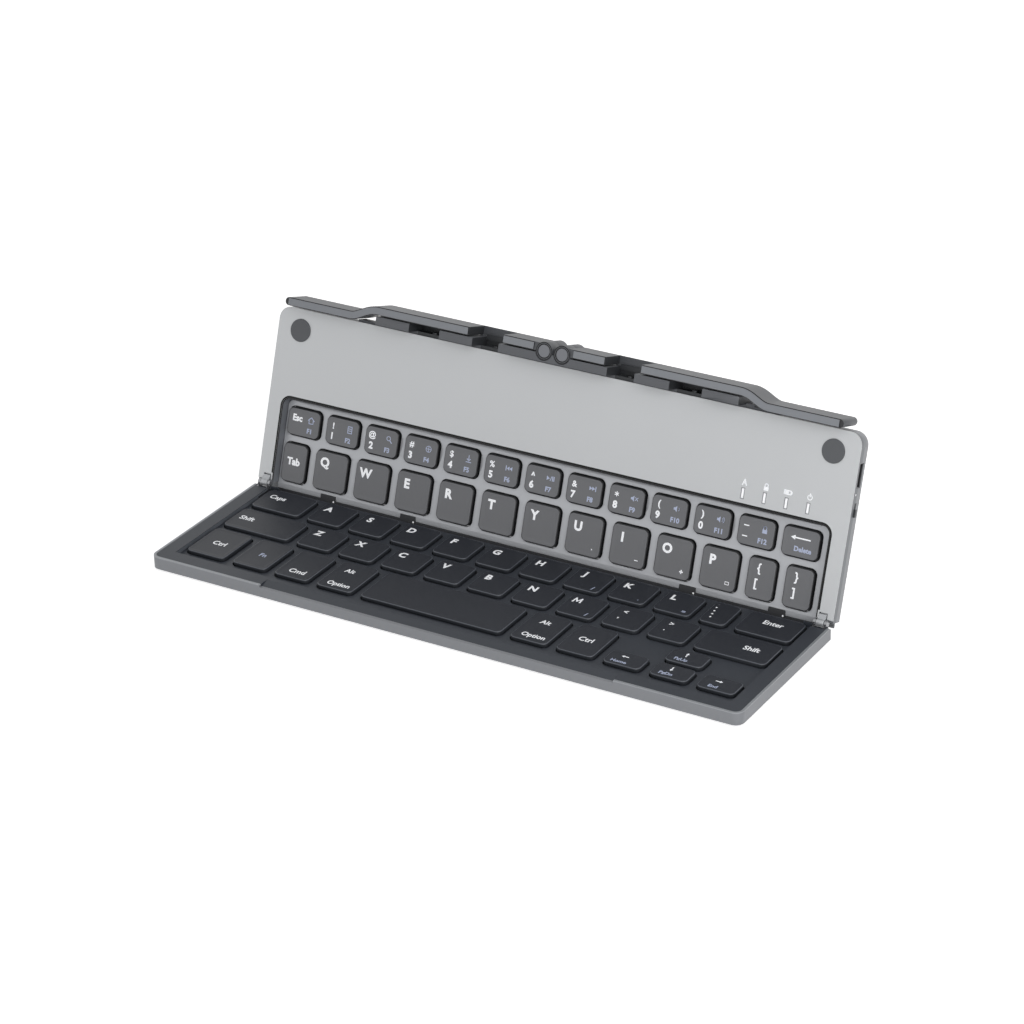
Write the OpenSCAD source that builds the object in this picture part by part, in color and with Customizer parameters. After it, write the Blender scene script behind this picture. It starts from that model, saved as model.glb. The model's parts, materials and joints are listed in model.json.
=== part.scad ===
// Folding keyboard: two key halves on a cross hinge, with a swing-out tablet stand on the rear edge.
// The lower half lies flat. The upper half is drawn laid open flat behind the hinge axis and then
// turned up about that axis. Across is X, depth is Y and height is Z, in millimetres.

/* [Halves] */
// Width of both halves
body_w = 251; // [244:1:310]
// Depth of the lower half, hinge axis to front edge
lower_depth = 71.1; // [70:0.5:90]
// Thickness of the lower half without its feet
lower_t = 5.0; // [5:0.1:8]
// Depth of the upper half, hinge axis to rear edge
upper_depth = 70.2; // [62:0.5:90]
// Thickness of the upper half
upper_t = 6.0; // [6:0.1:9]
// Angle between the two halves as shown
open_angle = 109; // [80:1:180]
// Height of the hinge axis above both inner faces
axis_rise = 0.8; // [0.6:0.1:1.2]
// Corner radius of the lower half
lower_corner_r = 3.5; // [2:0.5:6]
// Corner radius of the upper half
upper_corner_r = 5; // [3:0.5:8]
// Width of the plain border beside the keys
border_w = 6.9; // [6.9:0.1:9]

/* [Shells] */
// Floor of the lower tray
tray_floor_t = 0.8; // [0.6:0.1:1]
// Side wall of the lower tray
tray_wall_t = 1.0; // [0.8:0.1:1.2]
// Face of the upper front panel
panel_t = 1.0; // [0.8:0.1:1]
// Side wall of the upper shells
shell_wall_t = 1.2; // [1:0.1:1.4]
// Floor of the upper back shell
back_floor_t = 0.7; // [0.6:0.05:0.8]
// Height of the joint line between panel skirt and back shell, below the inner face
skirt_h = 3.0; // [2.5:0.1:3.4]

/* [Key decks] */
// Depth of the lower key deck below the rim
lower_recess = 1.8; // [1.5:0.1:2]
// Plate thickness of the lower key deck
lower_deck_t = 0.8; // [0.6:0.1:0.8]
// Width of the lower half's front border
front_border = 7.0; // [6:0.5:8]
// Depth of the upper key deck below the front panel
upper_recess = 3.84; // [3.5:0.02:3.9]
// Plate thickness of the upper key deck
upper_deck_t = 0.6; // [0.5:0.1:0.6]
// Gap at the top and right of the upper key deck
deck_gap = 0.8; // [0.5:0.1:1]
// Gap at the left of the upper key deck
deck_gap_left = 0.2; // [0.1:0.1:0.5]
// Corner radius of the upper key well
well_corner_r = 3.2; // [2:0.2:4]
// Width of the dark rim between the key well and the panel
rim_w = 0.45; // [0.3:0.05:0.6]
// Width of the bent lip along the upper key deck's lower edge
deck_bend_w = 2.0; // [1:0.1:2.2]
// Drop of the bent lip
deck_bend_drop = 0.35; // [0.1:0.05:0.4]
// Half-width of the thumb notch in the lower front edge
thumb_notch_half = 75.3; // [40:1:100]
// Drop of the thumb notch at the front edge
thumb_notch_drop = 1.0; // [0.5:0.1:1.2]

/* [Keys] */
// Pitch of the letter keys
key_pitch = 19; // [18:0.25:19]
// Deck opening of a letter key, across
key_w = 16; // [15:0.25:16]
// Deck opening of a letter key, front to back
key_d = 16.3; // [14:0.1:16.3]
// Deck opening of a number key, across
number_w = 15.8; // [14:0.2:16]
// Deck opening of a number key, front to back
number_d = 11.8; // [10:0.2:12]
// Depth of the bottom row's keys
bottom_d = 21.6; // [16:0.2:21.6]
// Web between neighbouring key openings, front to back
row_web = 2.4; // [2:0.1:2.8]
// Gap round each keycap in its opening
cap_gap = 0.45; // [0.3:0.05:0.6]
// Height of the key tops above their deck
cap_rise = 1.5; // [1.2:0.1:1.5]
// Key travel
key_travel = 1.1; // [0.8:0.1:1.1]
// Corner radius of a key opening
key_corner_r = 2.6; // [1.5:0.1:3]
// Distance from the hinge axis to the first key row of each half
row_start = 1.3; // [1.3:0.1:3]
// Web between neighbouring side keys, across
side_web = 3; // [2.5:0.1:3.5]

/* [Stand] */
// Depth of the stand bars along the closed stack's thickness, in front of the inner face
stand_front = 6.6; // [6:0.1:9]
// Thickness of the fixed rail
rail_t = 3.2; // [2.5:0.1:4]
// Gap between the lower front edge and the rail when closed
closed_gap = 0.4; // [0.3:0.1:1]
// Thickness of an arm
arm_t = 3.2; // [2.5:0.1:4]
// Gap between the rail and the arm above it
arm_gap = 0.5; // [0.3:0.1:1]
// Half-length of the fixed rail
rail_half = 78; // [70:1:90]
// Distance from the middle to an arm's free end
arm_reach = 119.8; // [110:0.2:121]
// Length of the arm's jog between its two levels
jog_len = 12; // [8:0.5:12]
// Height of the pale strips on the arms' front faces
strip_proud = 0.4; // [0.2:0.1:0.6]
// Margin round the strips
strip_margin = 0.3; // [0.2:0.05:0.5]
// Back wall left behind the slots of the rail and the arms
slot_back_t = 0.8; // [0.8:0.1:2]
// Distance from the middle to a pivot
pivot_x = 3.85; // [3.8:0.05:5]
// Outer radius of a pivot barrel
barrel_r = 3.5; // [3.2:0.05:3.5]
// Radius of a pivot pin
stand_pin_r = 1.5; // [1.2:0.1:1.8]
// Inner and outer ends of a tablet slot, from the middle
tablet_slot = [22, 37];
// Inner and outer ends of the rail's pull notch, from the middle
pull_notch = [49.4, 63];

/* [Hinge] */
// Distance from the key well's wall to the middle of a hinge lug
lug_inset = 2.8; // [2.75:0.05:2.95]
// Width of a hinge lug
lug_w = 3.0; // [2.4:0.1:3]
// Radius of a lug's knuckle
knuckle_r = 1.5; // [1.3:0.1:1.6]
// Radius of a hinge pin
hinge_pin_r = 0.6; // [0.5:0.05:0.7]
// Radial running clearance of every pin
pin_gap = 0.05; // [0.02:0.01:0.08]

/* [Electronics] */
// Size of the battery: across, up the half, thickness
battery = [96, 26, 3.4];
// Thickness of the main board
board_t = 0.9; // [0.8:0.1:1.2]
// Opening of the charging port: along the edge, thickness
port = [9.2, 3.0];
// Distance from the hinge axis to the middle of the port
port_v = 54.8; // [48:0.5:58]
// Distance from the hinge axis to the middle of the power switch
switch_v = 42; // [38:0.5:44]
// Travel of the power switch
switch_travel = 2; // [1.5:0.1:2.4]
// Radius of a corner pad
pad_r = 4.5; // [3:0.1:5]

/* [Hidden] */
$fn = 48;
eps = 0.01;
slip = 0.05;

fold_turn = 180 - open_angle;
ground_z = -axis_rise - max(upper_t, lower_t + 0.4);
foot_t = -axis_rise - lower_t - ground_z;
end_gap = 0.3;
half_w = body_w / 2;
well_half = half_w - border_w;
deck_half = well_half - (deck_gap + deck_gap_left) / 2;
lug_x = well_half + lug_inset;
deck_x = (deck_gap_left - deck_gap) / 2;

// Lower half levels, from the hinge axis.
lower_face = -axis_rise;
lower_base = -axis_rise - lower_t;
lower_floor = lower_base + tray_floor_t;
lower_deck_z = lower_face - lower_recess;
lower_plate_t = 0.4;
lower_membrane_t = 0.2;
lower_membrane_z = lower_floor + lower_plate_t;
tray_rear = 3.6;
guard_t = 0.25;
deck_tail = 1.0;

// Upper half levels when laid flat, from the hinge axis.
upper_face = -axis_rise;
upper_base = -axis_rise - upper_t;
upper_floor = upper_base + back_floor_t;
upper_deck_z = upper_face - upper_recess;
upper_plate_t = 0.25;
upper_membrane_t = 0.15;
upper_membrane_z = upper_floor + upper_plate_t;
split_z = upper_face - skirt_h;
frame_wall_t = 1.2;
deck_lip = 1.77;
strip_reach = 3.0;

// Lip of the back shell behind the hinge. It runs under the lower half's base when the halves lie flat.
rear_lip = 2.3;
rear_lip_t = min(back_floor_t, upper_t - lower_t - 0.3);

// Domes and keycaps.
dome_t = 0.3;
dome_r = 3.0;
cap_top_t = 0.8;
cap_wall_t = 0.9;
cap_skirt = 0.4;
plunger_r = 1.2;
plunger_gap = 0.06;
cap_corner_r = key_corner_r - cap_gap;

// Key rows of the upper half. A key is [name, middle across, middle from the axis, opening across,
// opening front to back].
key_left = -117.4;
key_right = 115;
number_pitch = tidy((key_right - key_left - number_w) / 12);
letters_q = ["q", "w", "e", "r", "t", "y", "u", "i", "o", "p"];
q_first = -94.4;
q_v = row_start + key_d / 2;
number_v = row_start + key_d + row_web + number_d / 2;
letter_web = key_pitch - key_w;
q_left = q_first - key_w / 2;
q_right = q_first + 9 * key_pitch + key_w / 2;
bracket_w = tidy((key_right - q_right - 2 * letter_web) / 2);

// Rounded down to a twentieth of a millimetre.
function tidy(x) = floor(20 * x + 0.01) / 20;
function span_key(name, from, to, v, d) = [name, (from + to) / 2, v, to - from, d];

number_keys = [for (i = [0:12])
    [str("number_", i), key_left + number_w / 2 + i * number_pitch, number_v, number_w, number_d]];
q_keys = [for (i = [0:9]) [str("key_", letters_q[i]), q_first + i * key_pitch, q_v, key_w, key_d]];
upper_side = [
    span_key("tab", key_left, q_left - letter_web, q_v, key_d),
    span_key("bracket_left", q_right + letter_web, q_right + letter_web + bracket_w, q_v, key_d),
    span_key("bracket_right", key_right - bracket_w, key_right, q_v, key_d)
];

// Key rows of the lower half, with their distance from the axis along -Y.
low_left = -117.4;
low_right = 117.4;
letters_a = ["a", "s", "d", "f", "g", "h", "j", "k", "l"];
letters_z = ["z", "x", "c", "v", "b", "n", "m"];
a_first = -83.4;
z_first = -75.6;
a_y = -row_start - key_d / 2;
z_y = a_y - key_d - row_web;
bottom_back = z_y - key_d / 2 - row_web;
bottom_y = bottom_back - bottom_d / 2;
a_left = a_first - key_w / 2;
a_right = a_first + 8 * key_pitch + key_w / 2;
z_left = z_first - key_w / 2;
z_letters_right = z_first + 6 * key_pitch + key_w / 2;
dot_x = z_first + 8 * key_pitch;
semicolon_w = 11.5;

a_keys = [for (i = [0:8]) [str("key_", letters_a[i]), a_first + i * key_pitch, a_y, key_w, key_d]];
z_keys = [for (i = [0:6]) [str("key_", letters_z[i]), z_first + i * key_pitch, z_y, key_w, key_d]];
enter_left = a_right + 2 * letter_web + semicolon_w;
enter_keys = [span_key("enter_key", enter_left, low_right, a_y, key_d)];

// Right ends of the bottom row's openings, from Ctrl at the left to Ctrl at the right.
bottom_ends = [-99.4, -80.4, -61.4, -41.9, 22.4, 41.6, 60.8];
arrow_w = tidy((low_right - bottom_ends[6] - 3 * side_web) / 3);
arrow_d = tidy((bottom_d - row_web / 2) / 2);
arrow_front_y = bottom_back - bottom_d + arrow_d / 2;
arrow_x = [for (i = [0:2]) bottom_ends[6] + side_web + arrow_w / 2 + i * (arrow_w + side_web)];
function bottom_start(i) = i == 0 ? low_left : bottom_ends[i - 1] + side_web;
function bottom_key(name, i) = span_key(name, bottom_start(i), bottom_ends[i], bottom_y, bottom_d);

space_keys = [bottom_key("space_bar", 4)];
modifier_keys_list = [
    span_key("caps", low_left, a_left - letter_web, a_y, key_d),
    span_key("shift_left", low_left, z_left - letter_web, z_y, key_d),
    span_key("shift_right", dot_x + key_w / 2 + letter_web, low_right, z_y, key_d),
    bottom_key("ctrl_left", 0), bottom_key("fn", 1), bottom_key("cmd", 2), bottom_key("option", 3),
    bottom_key("alt", 5), bottom_key("ctrl_right", 6)
];
punctuation_list = [
    [str("semicolon"), a_right + letter_web + semicolon_w / 2, a_y, semicolon_w, key_d],
    ["comma", dot_x - key_pitch, z_y, key_w, key_d],
    ["dot", dot_x, z_y, key_w, key_d],
    ["arrow_left", arrow_x[0], arrow_front_y, arrow_w, arrow_d],
    ["arrow_down", arrow_x[1], arrow_front_y, arrow_w, arrow_d],
    ["arrow_up", arrow_x[1], bottom_back - arrow_d / 2, arrow_w, arrow_d],
    ["arrow_right", arrow_x[2], arrow_front_y, arrow_w, arrow_d]
];

upper_keys = concat(number_keys, q_keys, upper_side);
lower_keys = concat(a_keys, z_keys, enter_keys, space_keys, modifier_keys_list, punctuation_list);

// Stand, laid flat with the upper half.
rail_v = max(lower_depth + closed_gap, upper_depth + 0.5);
arm_v = rail_v + rail_t + arm_gap;
stand_v = arm_v + arm_t;
barrel_v = arm_v + 0.4;
stand_top_z = upper_face + stand_front;
slot_floor_z = upper_base + slot_back_t;
bar_top_z = stand_top_z - strip_proud;
knuckle_split_z = upper_face + 0.3;
pin_head_r = 2.4;
pin_head_t = 0.6;
arm_end_r = arm_t / 2;
jog_out = rail_half + 12;
strip_from = pivot_x + barrel_r + 1.2;
screw_xs = [29, 56];
screw_r = 0.65;
screw_z = upper_face - 2.25;

// Hinge, about the axis.
ear_w = 1.0;
ear_r = 1.3;
ear_side = 0.2;
hinge_cut_r = 1.65;
lug_len = 3.05;
lug_notch = 3.6;
lug_tail = 14;
lug_plate_t = 1.0;
lug_plate_z = upper_face - panel_t - 0.1 - lug_plate_t;
bracket_t = 0.9;
bracket_z = lower_face - 1.8;
bracket_len = 9;

// Electronics.
well_v = row_start + key_d + row_web + number_d + 2.05 + deck_gap;
bay_v = well_v + frame_wall_t + 0.6;
battery_x = -52;
battery_v = bay_v + 2;
board_x = [64, well_half - 1.2];
board_v = [bay_v, upper_depth - shell_wall_t - 3.4];
board_z = upper_face - 3.1;
boss_r = 1.5;
led_xs = [for (i = [0:3]) 82.3 + 8.8 * i];
led_v = 39.4;
led_w = 0.9;
led_len = 3.6;
port_z = upper_face - 3.05;
port_len = 7;
port_wall = 0.3;
switch_slot = [5.4, 1.5];
switch_z = upper_face - 3.0;
knob_len = switch_slot[0] - switch_travel - 0.6;
charge_led_v = port_v - port[0] / 2 - 2.4;
pad_x = half_w - 10.5;
pad_v = upper_depth - 8.3;
pad_sink = 0.3;
pad_proud = 0.4;
tab_w = 6.8;
tab_xs = [-94.7, -57.8, 64.5, 101.4];

// Place of the origin: middle of the whole outline, on the ground.
rear_y = max(stand_v, barrel_v + barrel_r) * cos(fold_turn) - upper_base * sin(fold_turn);
origin_y = (rear_y - lower_depth) / 2;

letter_names = concat([for (k = q_keys) k[0]], [for (k = a_keys) k[0]], [for (k = z_keys) k[0]]);

// ---- Placing ----

// The lower half and everything else measured from the hinge axis.
module on_ground() {
    translate([0, -origin_y, -ground_z]) children();
}

// The upper half, drawn flat and turned up about the hinge axis.
module turned_up() {
    on_ground() rotate([fold_turn, 0, 0]) children();
}

module both_sides() {
    children();
    mirror([1, 0, 0]) children();
}

// ---- Plain shapes ----

module slab(x, y, z) {
    translate([x[0], y[0], z[0]]) cube([x[1] - x[0], y[1] - y[0], z[1] - z[0]]);
}

// A rectangle about its middle, with round corners made of true circles.
module round_rect(w, d, r) {
    square([w - 2 * r, d], center = true);
    square([w, d - 2 * r], center = true);
    for (x = [-1, 1], y = [-1, 1]) translate([x * (w / 2 - r), y * (d / 2 - r)]) circle(r);
}

// A half's outline from the axis side (v = from) to the far edge (v = to), far corners rounded.
module half_outline(half, from, to, r) {
    translate([-half, from]) square([2 * half, to - from - r]);
    translate([-half + r, from]) square([2 * (half - r), to - from]);
    for (x = [-1, 1]) translate([x * (half - r), to - r]) circle(r);
}

module plate(z) {
    translate([0, 0, z[0]]) linear_extrude(z[1] - z[0]) children();
}

// A rod along X about the hinge axis.
module axle(r, from, to) {
    translate([from, 0, 0]) rotate([0, 90, 0]) cylinder(r = r, h = to - from);
}

module key_openings(keys) {
    for (k = keys) translate([k[1], k[2]]) round_rect(k[3], k[4], key_corner_r);
}

// ---- Keycaps and what lies under them ----

// A hollow cap with a plunger; top_z is the key top, bottom_z the end of its skirt.
module keycap(k, top_z, bottom_z, plunger_z) {
    w = k[3] - 2 * cap_gap;
    d = k[4] - 2 * cap_gap;
    translate([k[1], k[2], 0]) {
        difference() {
            plate([bottom_z, top_z]) round_rect(w, d, cap_corner_r);
            plate([bottom_z - 1, top_z - cap_top_t])
                round_rect(w - 2 * cap_wall_t, d - 2 * cap_wall_t, cap_corner_r - cap_wall_t);
        }
        translate([0, 0, plunger_z]) cylinder(r = plunger_r, h = top_z - cap_top_t - plunger_z + eps);
    }
}

module upper_cap(k) {
    top_z = upper_deck_z + cap_rise;
    turned_up() keycap(k, top_z, upper_membrane_z + upper_membrane_t + key_travel + plunger_gap,
        upper_membrane_z + upper_membrane_t + dome_t + key_travel + plunger_gap);
}

module lower_cap(k) {
    top_z = lower_deck_z + cap_rise;
    on_ground() keycap(k, top_z, lower_deck_z - cap_skirt,
        lower_membrane_z + lower_membrane_t + dome_t + key_travel + plunger_gap);
}

module domes(keys, z) {
    for (k = keys) translate([k[1], k[2], z]) cylinder(r1 = dome_r, r2 = dome_r - 1, h = dome_t);
}

// ---- Lower half ----

module lower_outline(inset) {
    mirror([0, 1]) half_outline(half_w - inset, end_gap, lower_depth - inset,
        lower_corner_r - min(inset, lower_corner_r - 1));
}

// The slope that drops the front rim between the two ends of the thumb notch.
module thumb_notch() {
    run = front_border - 2;
    translate([-thumb_notch_half, 0, 0]) rotate([90, 0, 90]) linear_extrude(2 * thumb_notch_half)
        polygon([
            [-lower_depth - 1, lower_face + 1],
            [-lower_depth + run, lower_face + 1],
            [-lower_depth + run, lower_face],
            [-lower_depth, lower_face - thumb_notch_drop],
            [-lower_depth - 1, lower_face - thumb_notch_drop]
        ]);
}

module lower_tray() color([0.53, 0.54, 0.55]) on_ground() {
    rear_wall = [-tray_rear - tray_wall_t, -tray_rear];
    rear_top = lower_deck_z - cap_skirt - key_travel - 0.1;
    guard_rear = -row_start + 0.05;
    ledge = 1.6;
    deck_under = lower_deck_z - lower_deck_t;
    difference() {
        union() {
            difference() {
                plate([lower_base, lower_face]) lower_outline(0);
                plate([lower_floor, lower_face + 1]) lower_outline(tray_wall_t);
                slab([-well_half, well_half], [-tray_rear, 1], [lower_base - 1, lower_face + 1]);
            }
            slab([-well_half, well_half], rear_wall, [lower_base, rear_top]);
            slab([-well_half + end_gap, well_half - end_gap], [-tray_rear - eps, guard_rear + 0.4],
                [rear_top - guard_t, rear_top]);
            slab([-well_half + end_gap, well_half - end_gap], [guard_rear, guard_rear + 0.4],
                [rear_top - guard_t, deck_under]);
            both_sides() slab([well_half, half_w - tray_wall_t + eps], [-end_gap - 1, -end_gap],
                [lower_floor - eps, deck_under]);
            for (s = [-1, 1]) translate([s * (well_half + border_w / 2 - tray_wall_t / 2), 0, 0])
                slab([-border_w / 2 + 0.8, border_w / 2 - tray_wall_t / 2 - eps],
                    [-lower_depth + lower_corner_r + 1, -bracket_len - 3], [lower_floor - eps, deck_under]);
            slab([-well_half, well_half], [-lower_depth + tray_wall_t - eps, -lower_depth + tray_wall_t + ledge],
                [lower_floor - eps, deck_under]);
        }
        thumb_notch();
        axle(hinge_cut_r, -half_w - 1, -well_half);
        axle(hinge_cut_r, well_half, half_w + 1);
    }
}

module lower_deck() color([0.19, 0.20, 0.22]) on_ground() {
    under = lower_deck_z - lower_deck_t;
    ear_out = lug_x + lug_w / 2 + ear_side + ear_w + slip;
    difference() {
        union() {
            plate([under, lower_face]) lower_outline(tray_wall_t + slip);
            slab([-well_half + end_gap, well_half - end_gap], [-1, deck_tail], [under, lower_deck_z]);
        }
        slab([-well_half, well_half], [-lower_depth + front_border, deck_tail + 1], [lower_deck_z, lower_face + 1]);
        plate([under - 1, lower_deck_z + 1]) key_openings(lower_keys);
        thumb_notch();
        both_sides() {
            slab([well_half - 1, ear_out], [-bracket_len - slip, 1],
                [bracket_z - slip, bracket_z + bracket_t + slip]);
            slab([well_half - 1, ear_out], [-2.7, 1], [bracket_z - slip, lower_face + 1]);
        }
    }
    difference() {
        both_sides() slab([lug_x - lug_w / 2, lug_x + lug_w / 2], [-end_gap - 1, -end_gap],
            [bracket_z - slip - eps, lower_face - 0.2]);
        axle(hinge_cut_r, -half_w, half_w);
    }
}

module lower_support_plate() color([0.55, 0.56, 0.58]) on_ground()
    slab([-well_half + 2, well_half - 2], [-lower_depth + front_border, -tray_rear - tray_wall_t - 0.2],
        [lower_floor, lower_floor + lower_plate_t]);

module lower_membrane() color([0.25, 0.35, 0.30]) on_ground()
    slab([-well_half + 3, well_half - 3], [-lower_depth + front_border + 1, -tray_rear - tray_wall_t - 0.8],
        [lower_membrane_z, lower_membrane_z + lower_membrane_t]);

module lower_snap_domes() color([0.75, 0.75, 0.76]) on_ground()
    domes(lower_keys, lower_membrane_z + lower_membrane_t);

// Two rubber strips under the lower half, as high as the upper half hangs below it when open flat.
module lower_feet() color([0.12, 0.12, 0.13]) on_ground() {
    for (y = [-tray_rear - 3.6, -lower_depth + 6]) translate([0, y, 0])
        plate([ground_z, lower_base]) round_rect(2 * (half_w - 12), 5, 2.4);
}

// ---- Hinge ----

// Profile in the plane across the hinge axis, as wide as from-to along X.
module along_axis(from, to) {
    translate([from, 0, 0]) rotate([90, 0, 90]) linear_extrude(to - from) children();
}

module hinge_brackets() color([0.62, 0.63, 0.65]) on_ground() both_sides() {
    inner = lug_x - lug_w / 2 - ear_side - ear_w;
    outer = lug_x + lug_w / 2 + ear_side;
    difference() {
        union() {
            for (x = [inner, outer]) along_axis(x, x + ear_w) {
                circle(ear_r);
                translate([-2.6, bracket_z]) square([2.6, lower_face - 0.15 - bracket_z]);
            }
            slab([inner, outer + ear_w], [-bracket_len, -1.9], [bracket_z, bracket_z + bracket_t]);
        }
        axle(hinge_pin_r + pin_gap, inner - 1, outer + ear_w + 1);
    }
}

module hinge_pins() color([0.75, 0.75, 0.76]) on_ground() both_sides()
    axle(hinge_pin_r, lug_x - lug_w / 2 - ear_side - ear_w, lug_x + lug_w / 2 + ear_side + ear_w);

// Lugs fixed under the upper panel's border, with their knuckles about the hinge axis.
module hinge_lugs() color([0.72, 0.73, 0.75]) turned_up() both_sides() {
    from = lug_x - lug_w / 2;
    to = lug_x + lug_w / 2;
    difference() {
        along_axis(from, to) {
            circle(knuckle_r);
            polygon([[0, knuckle_r], [lug_len, upper_face + 0.2], [lug_len, lug_plate_z], [0, -knuckle_r]]);
            translate([lug_len - 0.2, lug_plate_z]) square([lug_tail - lug_len, lug_plate_t]);
        }
        axle(hinge_pin_r + pin_gap, from - 1, to + 1);
    }
}

// ---- Upper half ----

module upper_outline(inset) {
    half_outline(half_w - inset, end_gap, upper_depth - inset, upper_corner_r - inset);
}

module well(grow = 0) {
    half_outline(well_half + grow, -strip_reach - 1, well_v + grow, well_corner_r + grow);
}

module hinge_cuts() {
    axle(hinge_cut_r, -half_w - 1, -well_half + 0.5);
    axle(hinge_cut_r, well_half - 0.5, half_w + 1);
}

// The openings in the right side wall for the port, the switch and the charging light.
module side_openings() {
    wall = [half_w - shell_wall_t - 1, half_w + 1];
    slab(wall, [port_v - port[0] / 2, port_v + port[0] / 2], [port_z - port[1] / 2, port_z + port[1] / 2]);
    slab(wall, [switch_v - switch_slot[0] / 2, switch_v + switch_slot[0] / 2],
        [switch_z - switch_slot[1] / 2, switch_z + switch_slot[1] / 2]);
    translate([wall[0], charge_led_v, switch_z + 0.9]) rotate([0, 90, 0]) cylinder(r = 0.5, h = 3);
}

module upper_front_panel() color([0.72, 0.73, 0.75]) turned_up() difference() {
    union() {
        plate([upper_face - panel_t, upper_face]) difference() {
            upper_outline(0);
            well(rim_w + slip);
        }
        plate([split_z, upper_face - panel_t + eps]) difference() {
            upper_outline(0);
            half_outline(half_w - shell_wall_t, end_gap - 1, upper_depth - shell_wall_t,
                upper_corner_r - shell_wall_t);
        }
    }
    for (x = led_xs) translate([x - led_w / 2, led_v - led_len / 2, upper_face - 2])
        cube([led_w, led_len, 3]);
    for (s = [-1, 1]) translate([s * pad_x, pad_v, upper_face - pad_sink]) cylinder(r = pad_r + slip, h = 1);
    both_sides() slab([lug_x - lug_w / 2 - 0.2, lug_x + lug_w / 2 + 0.2], [-1, lug_notch],
        [upper_face - panel_t - 1, upper_face + 1]);
    hinge_cuts();
    side_openings();
    rail_screw_holes();
}

module upper_back_shell() color([0.47, 0.48, 0.49]) turned_up() difference() {
    union() {
        difference() {
            plate([upper_base, split_z]) upper_outline(0);
            plate([upper_floor, split_z + 1])
                half_outline(half_w - shell_wall_t, end_gap - 1, upper_depth - shell_wall_t,
                    upper_corner_r - shell_wall_t);
        }
        slab([-well_half - frame_wall_t, well_half + frame_wall_t], [end_gap, end_gap + 1],
            [upper_floor - eps, upper_deck_z - upper_deck_t]);
        for (x = [board_x[0] + 3, board_x[1] - 6], v = [board_v[0] + 3, board_v[1] - 3])
            translate([x, v, upper_floor - eps]) cylinder(r = boss_r, h = board_z - board_t - upper_floor + eps);
        if (rear_lip_t >= 0.3)
            slab([-half_w + 1.5, half_w - 1.5], [-rear_lip, end_gap + 1], [upper_base, upper_base + rear_lip_t]);
    }
    hinge_cuts();
    side_openings();
}

// Dark inner frame: walls of the key well, a ledge for the key deck and seats for the hinge lugs.
module upper_frame() color([0.25, 0.26, 0.27]) turned_up() difference() {
    inner_half = half_w - shell_wall_t - slip;
    ledge = 1.4;
    union() {
        plate([upper_floor, upper_face - panel_t]) difference() {
            half_outline(well_half + frame_wall_t, end_gap + 1 + slip, well_v + frame_wall_t,
                well_corner_r + frame_wall_t);
            well();
        }
        plate([upper_face - panel_t - eps, upper_face - 0.1]) difference() {
            half_outline(well_half + rim_w, end_gap + 1 + slip, well_v + rim_w, well_corner_r + rim_w);
            well();
        }
        plate([upper_floor, upper_deck_z - upper_deck_t]) difference() {
            half_outline(well_half + frame_wall_t / 2, end_gap + 1 + slip, well_v + frame_wall_t / 2,
                well_corner_r + frame_wall_t / 2);
            half_outline(well_half - ledge, -5, well_v - ledge, well_corner_r - ledge);
        }
        both_sides() {
            slab([well_half + frame_wall_t - eps, inner_half], [lug_notch, lug_tail + 3],
                [upper_floor, lug_plate_z]);
            slab([well_half, well_half + frame_wall_t], [end_gap + slip, end_gap + 1.2],
                [upper_deck_z - upper_deck_t, upper_face - panel_t]);
            slab([well_half + frame_wall_t - eps, inner_half], [end_gap + slip, end_gap + 1],
                [upper_floor, upper_face - panel_t]);
        }
        slab([-inner_half + 4, inner_half - 4],
            [upper_depth - shell_wall_t - slip - 2.6, upper_depth - shell_wall_t - slip],
            [upper_floor, upper_face - panel_t]);
    }
    both_sides() slab([lug_x - lug_w / 2 - 0.2, lug_x + lug_w / 2 + 0.2], [-1, lug_tail + 1],
        [lug_plate_z, upper_face]);
    hinge_cuts();
    rail_screw_holes();
}

module upper_deck() color([0.70, 0.71, 0.73]) turned_up() difference() {
    plate([upper_deck_z - upper_deck_t, upper_deck_z]) difference() {
        translate([deck_x, 0]) half_outline(deck_half, -deck_lip, well_v - deck_gap, well_corner_r - deck_gap);
        key_openings(upper_keys);
        for (x = tab_xs) translate([x - tab_w / 2 - slip, -deck_lip - 1])
            square([tab_w + 2 * slip, deck_lip + 1 + slip]);
    }
    along_axis(-half_w, half_w) polygon([
        [-deck_lip - 0.2, upper_deck_z + 1],
        [-deck_lip - 0.2, upper_deck_z - deck_bend_drop * (deck_bend_w + 0.2) / deck_bend_w],
        [-deck_lip + deck_bend_w, upper_deck_z],
        [-deck_lip + deck_bend_w, upper_deck_z + 1]
    ]);
}

// Dark strip along the key deck's lower edge, with four teeth that hook into the deck.
module hinge_strip() color([0.14, 0.14, 0.15]) turned_up()
    plate([upper_deck_z - upper_deck_t, upper_deck_z + 0.12]) {
        translate([deck_x - deck_half, -strip_reach]) square([2 * deck_half, strip_reach - deck_lip]);
        for (x = tab_xs) translate([x - tab_w / 2, -strip_reach]) square([tab_w, strip_reach]);
    }

module upper_support_plate() color([0.55, 0.56, 0.58]) turned_up()
    slab([-well_half + 2.5, well_half - 2.5], [end_gap + 1.2, well_v - 2.5],
        [upper_floor, upper_floor + upper_plate_t]);

module upper_membrane() color([0.25, 0.35, 0.30]) turned_up()
    slab([-well_half + 3, well_half - 3], [end_gap + 1.5, well_v - 3],
        [upper_membrane_z, upper_membrane_z + upper_membrane_t]);

module upper_snap_domes() color([0.75, 0.75, 0.76]) turned_up()
    domes(upper_keys, upper_membrane_z + upper_membrane_t);

module corner_pads() color([0.30, 0.30, 0.31]) turned_up() for (s = [-1, 1])
    translate([s * pad_x, pad_v, upper_face - pad_sink]) cylinder(r = pad_r, h = pad_sink + pad_proud);

// ---- Electronics ----

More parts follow.
